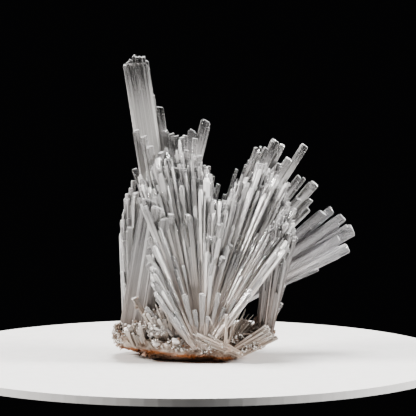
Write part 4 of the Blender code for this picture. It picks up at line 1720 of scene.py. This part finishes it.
    def druse_crystals(self, stone: bpy.types.Object, shop: Workshop) -> bpy.types.Object:
        """Build the fine crystals on the crust: druse, one white clump, and lying sheaves.

        Args:
            stone: The stone that they stand on.
            shop: The shared growth tree, the unit crystal and the model's box.

        Returns:
            Their object.
        """
        draw = random.Random(self.seed + 9)
        points = NeedlePoints("crust_druse")
        for sheaf in self.sheaves:
            sheaf.add_to(points, draw, shop)
        self.add_clump(points, draw, shop)
        edge = list(self.rim)
        faces = [
            face for face in stone.data.polygons
            if face.normal.z > self.LOOKS_DOWN
            and face.center.z / MM > between(edge, face.center.x / MM) + self.ABOVE_RIM
        ]
        wanted = len(points.feet) + self.druse
        while len(points.feet) < wanted:
            face = draw.choice(faces)
            root = face.center / MM
            patch = noise.noise(root * self.PATCH_SCALE + Vector(self.PATCH_SHIFT))
            from_pit = (root - Vector(self.pit)).length
            if patch < draw.uniform(*self.PATCH_LEVELS) or from_pit < self.pit_radius:
                continue
            wobble = Vector([draw.uniform(-1, 1) for _ in range(3)])
            aim = (face.normal * self.STEADY + wobble * self.WOBBLE).normalized()
            length = draw.uniform(*self.DRUSE_LENGTHS)
            length *= 1.0 + self.LONGER_IN_PATCH * max(patch, 0.0) * draw.random()
            room = shop.holds(root + aim * length, self.DRUSE_ROOM)
            if aim.dot(face.normal) < self.LOWEST or not room:
                continue
            look = self.DRUSE_LOOK
            points.add(
                root - aim * self.SUNK, root + aim * length, draw.uniform(*look["width"]),
                draw.uniform(*look["flat"]), draw.uniform(0, math.pi), draw.random(),
                draw.uniform(*look["clear"]),
            )
        material = self.druse_finish.material()
        return shop.tree.grow(points.build(), shop.needle, 1.0, material)

    def add_clump(self, points: NeedlePoints, draw: random.Random, shop: Workshop) -> None:
        """Add the white clump of short crystals beside the pit.

        Args:
            points: The points that take them.
            draw: The source of their places.
            shop: What knows the model's box.
        """
        middle = Vector(self.clump)
        look = self.CLUMP_LOOK
        for _ in range(self.clump_count):
            away = Vector((
                draw.uniform(-1, 1), draw.uniform(-1, self.CLUMP_BACK),
                draw.uniform(self.CLUMP_DOWN, 1),
            ))
            away.normalize()
            tip = middle + away * self.clump_radius * draw.uniform(*self.CLUMP_ENDS)
            tip = shop.shorten(middle, tip, self.CLUMP_ROOM)
            points.add(
                middle + away * self.CLUMP_START, tip, draw.uniform(*look["width"]),
                draw.uniform(*look["flat"]), draw.uniform(0, math.pi),
                draw.uniform(*look["shade"]), draw.uniform(*look["clear"]),
            )

    def build(self, source: bpy.types.Object, shop: Workshop) -> None:
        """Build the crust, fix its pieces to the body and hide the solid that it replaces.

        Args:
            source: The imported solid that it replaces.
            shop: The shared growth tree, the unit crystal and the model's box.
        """
        stone = self.stone(source)
        blades = self.crystals("crust_blades", list(self.lying), self.lying_finish, shop)
        rising = self.crystals("crust_rising", self.rising(), self.rising_finish, shop)
        druse = self.druse_crystals(stone, shop)
        for piece in (stone, blades, rising, druse):
            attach(piece, BODY)
            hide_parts(self.node)
            log.info("%s: %d faces", piece.name, len(piece.data.polygons))


@dataclass(frozen=True)
class Light:
    """One soft square light: where it hangs and its side in millimetres, and its watts."""

    name: str
    place: tuple[float, float, float]
    size: float
    power: float
    colour: tuple[float, float, float]

    def hang(self, aim: Vector) -> None:
        """Hang it so that it faces a place.

        Args:
            aim: The place, in metres.
        """
        data = bpy.data.lights.new(self.name, "AREA")
        data.size = self.size * MM
        data.energy = self.power
        data.color = self.colour
        made = bpy.data.objects.new(self.name, data)
        bpy.context.scene.collection.objects.link(made)
        made.location = Vector(self.place) * MM
        made.rotation_mode = "QUATERNION"
        made.rotation_quaternion = (aim - made.location).to_track_quat("-Z", "Y")
        made.visible_camera = False


@dataclass
class Studio:
    """The floor, the lights, the dark surroundings and the camera."""

    floor_radius: float = 70.0
    distance: float = 900.0
    frame_width: float = 108.2
    elevation: float = 6.0
    aim: tuple[float, float, float] = (5.2, 0.0, 38.9)
    surround: tuple[float, float, float] = (0.004, 0.004, 0.0045)
    contrast: str = "AgX - Medium High Contrast"
    lights: tuple[Light, ...] = (
        Light("left_box", (-440, -90, 260), 150, 6.0, (1.0, 0.98, 0.96)),
        Light("right_box", (440, -60, 220), 150, 5.6, (1.0, 0.99, 0.98)),
        Light("top_box", (0, 60, 500), 180, 4.2, (1.0, 1.0, 1.0)),
    )

    def floor(self) -> None:
        """Lay the pale round floor."""
        bm = bmesh.new()
        bmesh.ops.create_cone(
            bm, cap_ends=True, segments=128, radius1=self.floor_radius * MM,
            radius2=self.floor_radius * MM, depth=2 * MM,
            matrix=Matrix.Translation((0, 0, -1.0 * MM)),
        )
        mesh = bpy.data.meshes.new("floor")
        bm.to_mesh(mesh)
        bm.free()
        made = show("floor", mesh)
        made.data.materials.append(FloorFinish().material())
        made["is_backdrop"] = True

    def camera(self) -> None:
        """Set the camera at the photograph's viewing angle."""
        data = bpy.data.cameras.new("camera")
        data.sensor_width = 36.0
        data.lens = data.sensor_width * self.distance / self.frame_width
        data.clip_start, data.clip_end = 0.05, 10.0
        made = bpy.data.objects.new("camera", data)
        bpy.context.scene.collection.objects.link(made)
        tilt = math.radians(self.elevation)
        back = Vector((0.0, -math.cos(tilt), math.sin(tilt)))
        made.location = (Vector(self.aim) + back * self.distance) * MM
        made.rotation_mode = "QUATERNION"
        made.rotation_quaternion = (-back).to_track_quat("-Z", "Y")
        bpy.context.scene.camera = made

    def build(self) -> None:
        """Set up the studio."""
        self.camera()
        self.floor()
        for light in self.lights:
            light.hang(Vector(self.aim) * MM)
        bpy.context.scene.view_settings.look = self.contrast
        world = bpy.data.worlds.new("surround")
        world.use_nodes = True
        world.node_tree.nodes["Background"].inputs[0].default_value = (*self.surround, 1.0)
        bpy.context.scene.world = world


def bundles() -> list[Bundle]:
    """List the bundles of crystals.

    Returns:
        The bundles, from left to right.
    """
    main = CrystalFinish("spray_crystal")
    clear = CrystalFinish(
        "side_crystal", dull=(0.70, 0.69, 0.72), bright=(0.90, 0.89, 0.92),
        point=(0.97, 0.965, 0.985), milky=0.70, clear=1.0, clear_zone=26.0,
        roughness=(0.02, 0.08), streaked=0.22,
    )
    low = CrystalFinish(
        "corner_crystal", root=(0.29, 0.225, 0.19), dull=(0.24, 0.22, 0.21),
        bright=(0.54, 0.51, 0.49), smoky_and_shaded=(0.34, 0.33, 0.33), point=(0.68, 0.66, 0.65),
        milky=0.6, clear=0.95, clear_zone=22.0, root_zone=(0.010, 0.045),
    )
    white = CrystalFinish(
        "left_crystal", root=(0.34, 0.27, 0.225), dull=(0.46, 0.455, 0.455),
        bright=(0.80, 0.79, 0.79), milky=0.62, clear=0.95, clear_zone=24.0, root_zone=(0.004, 0.032),
    )
    left_root = Root(-14.8, 3.0, 3.0, 3.4, 4.4, 6.6, 6.0, (-8.0, 10.0), 12.0)
    side_root = Root(5.0, 3.0, 3.0, 3.0, 3.0, 9.6, 9.6, (48.0, 68.0), 16.0)
    corner_root = Root(20.0, 2.5, 2.5, 2.6, 8.6, 6.6, 6.0, (-2.0, 17.0), 16.0)
    return [
        Bundle(
            "left_group", "crystal", white, LEFT_CENTRE, left_root, (-6, 8), (-10, 2),
            [(-6, 27), (-2, 37), (2, 37), (6, 34), (10, 26)], left_prisms(), 800, (0.3, 1.0),
            (0.35, 1.0), 1, heart=0.0,
        ),
        Bundle(
            "tower_spray", "crystal", main, SPRAY_CENTRE, SPRAY_ROOT, (-37, 14.4), (-32, 9),
            SPRAY_REACH, tower_prisms(), 3900, (0.3, 1.4), (0.4, 0.98), 2, frontal=0.58,
            blades=44, blade_shares=(0.55, 1.0), tall=TallCrystal(), front=Front(half=1.6),
        ),
        Bundle(
            "fan_spray", "crystal", main, SPRAY_CENTRE, SPRAY_ROOT, (14.8, 49), (-30, 8),
            SPRAY_REACH, fan_prisms(), 3700, (0.3, 1.4), (0.4, 0.96), 3, frontal=0.58,
            blades=40, blade_shares=(0.55, 1.0), front=Front((4.2, -13.2, 4.0), 1.6),
        ),
        Bundle(
            "side_prisms", "clear_crystal", clear, SIDE_CENTRE, side_root, (50, 66), (-16, -4),
            [(50, 38), (58, 38), (66, 32)], side_prisms(), 160, (0.3, 1.3), (0.4, 0.85), 4, heart=0.0,
        ),
        Bundle(
            "corner_sheaf", "crystal", low, CORNER_CENTRE, corner_root, (-1, 15.5), (-9, 14),
            [(-1, 27), (3, 33), (8, 34), (15, 30)], corner_prisms(), 1500, (0.28, 0.95),
            (0.4, 1.0), 5, blades=6, blade_widths=(1.2, 2.2), blade_tilts=(4, 12),
            blade_shares=(0.7, 1.0),
        ),
    ]


def main() -> None:
    """Load the frame, build the specimen and set up the studio."""
    logging.basicConfig(level=logging.INFO, format="%(name)s: %(message)s")
    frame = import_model()
    low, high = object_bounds()
    Studio().build()
    shop = Workshop(GrowthTree(), unit_crystal("unit_needle", 0.975), low, high)
    Crust().build(frame["nodes"]["matrix_crust"], shop)
    for bundle in bundles():
        bundle.build(shop)
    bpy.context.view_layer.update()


if __name__ == "__main__":
    main()
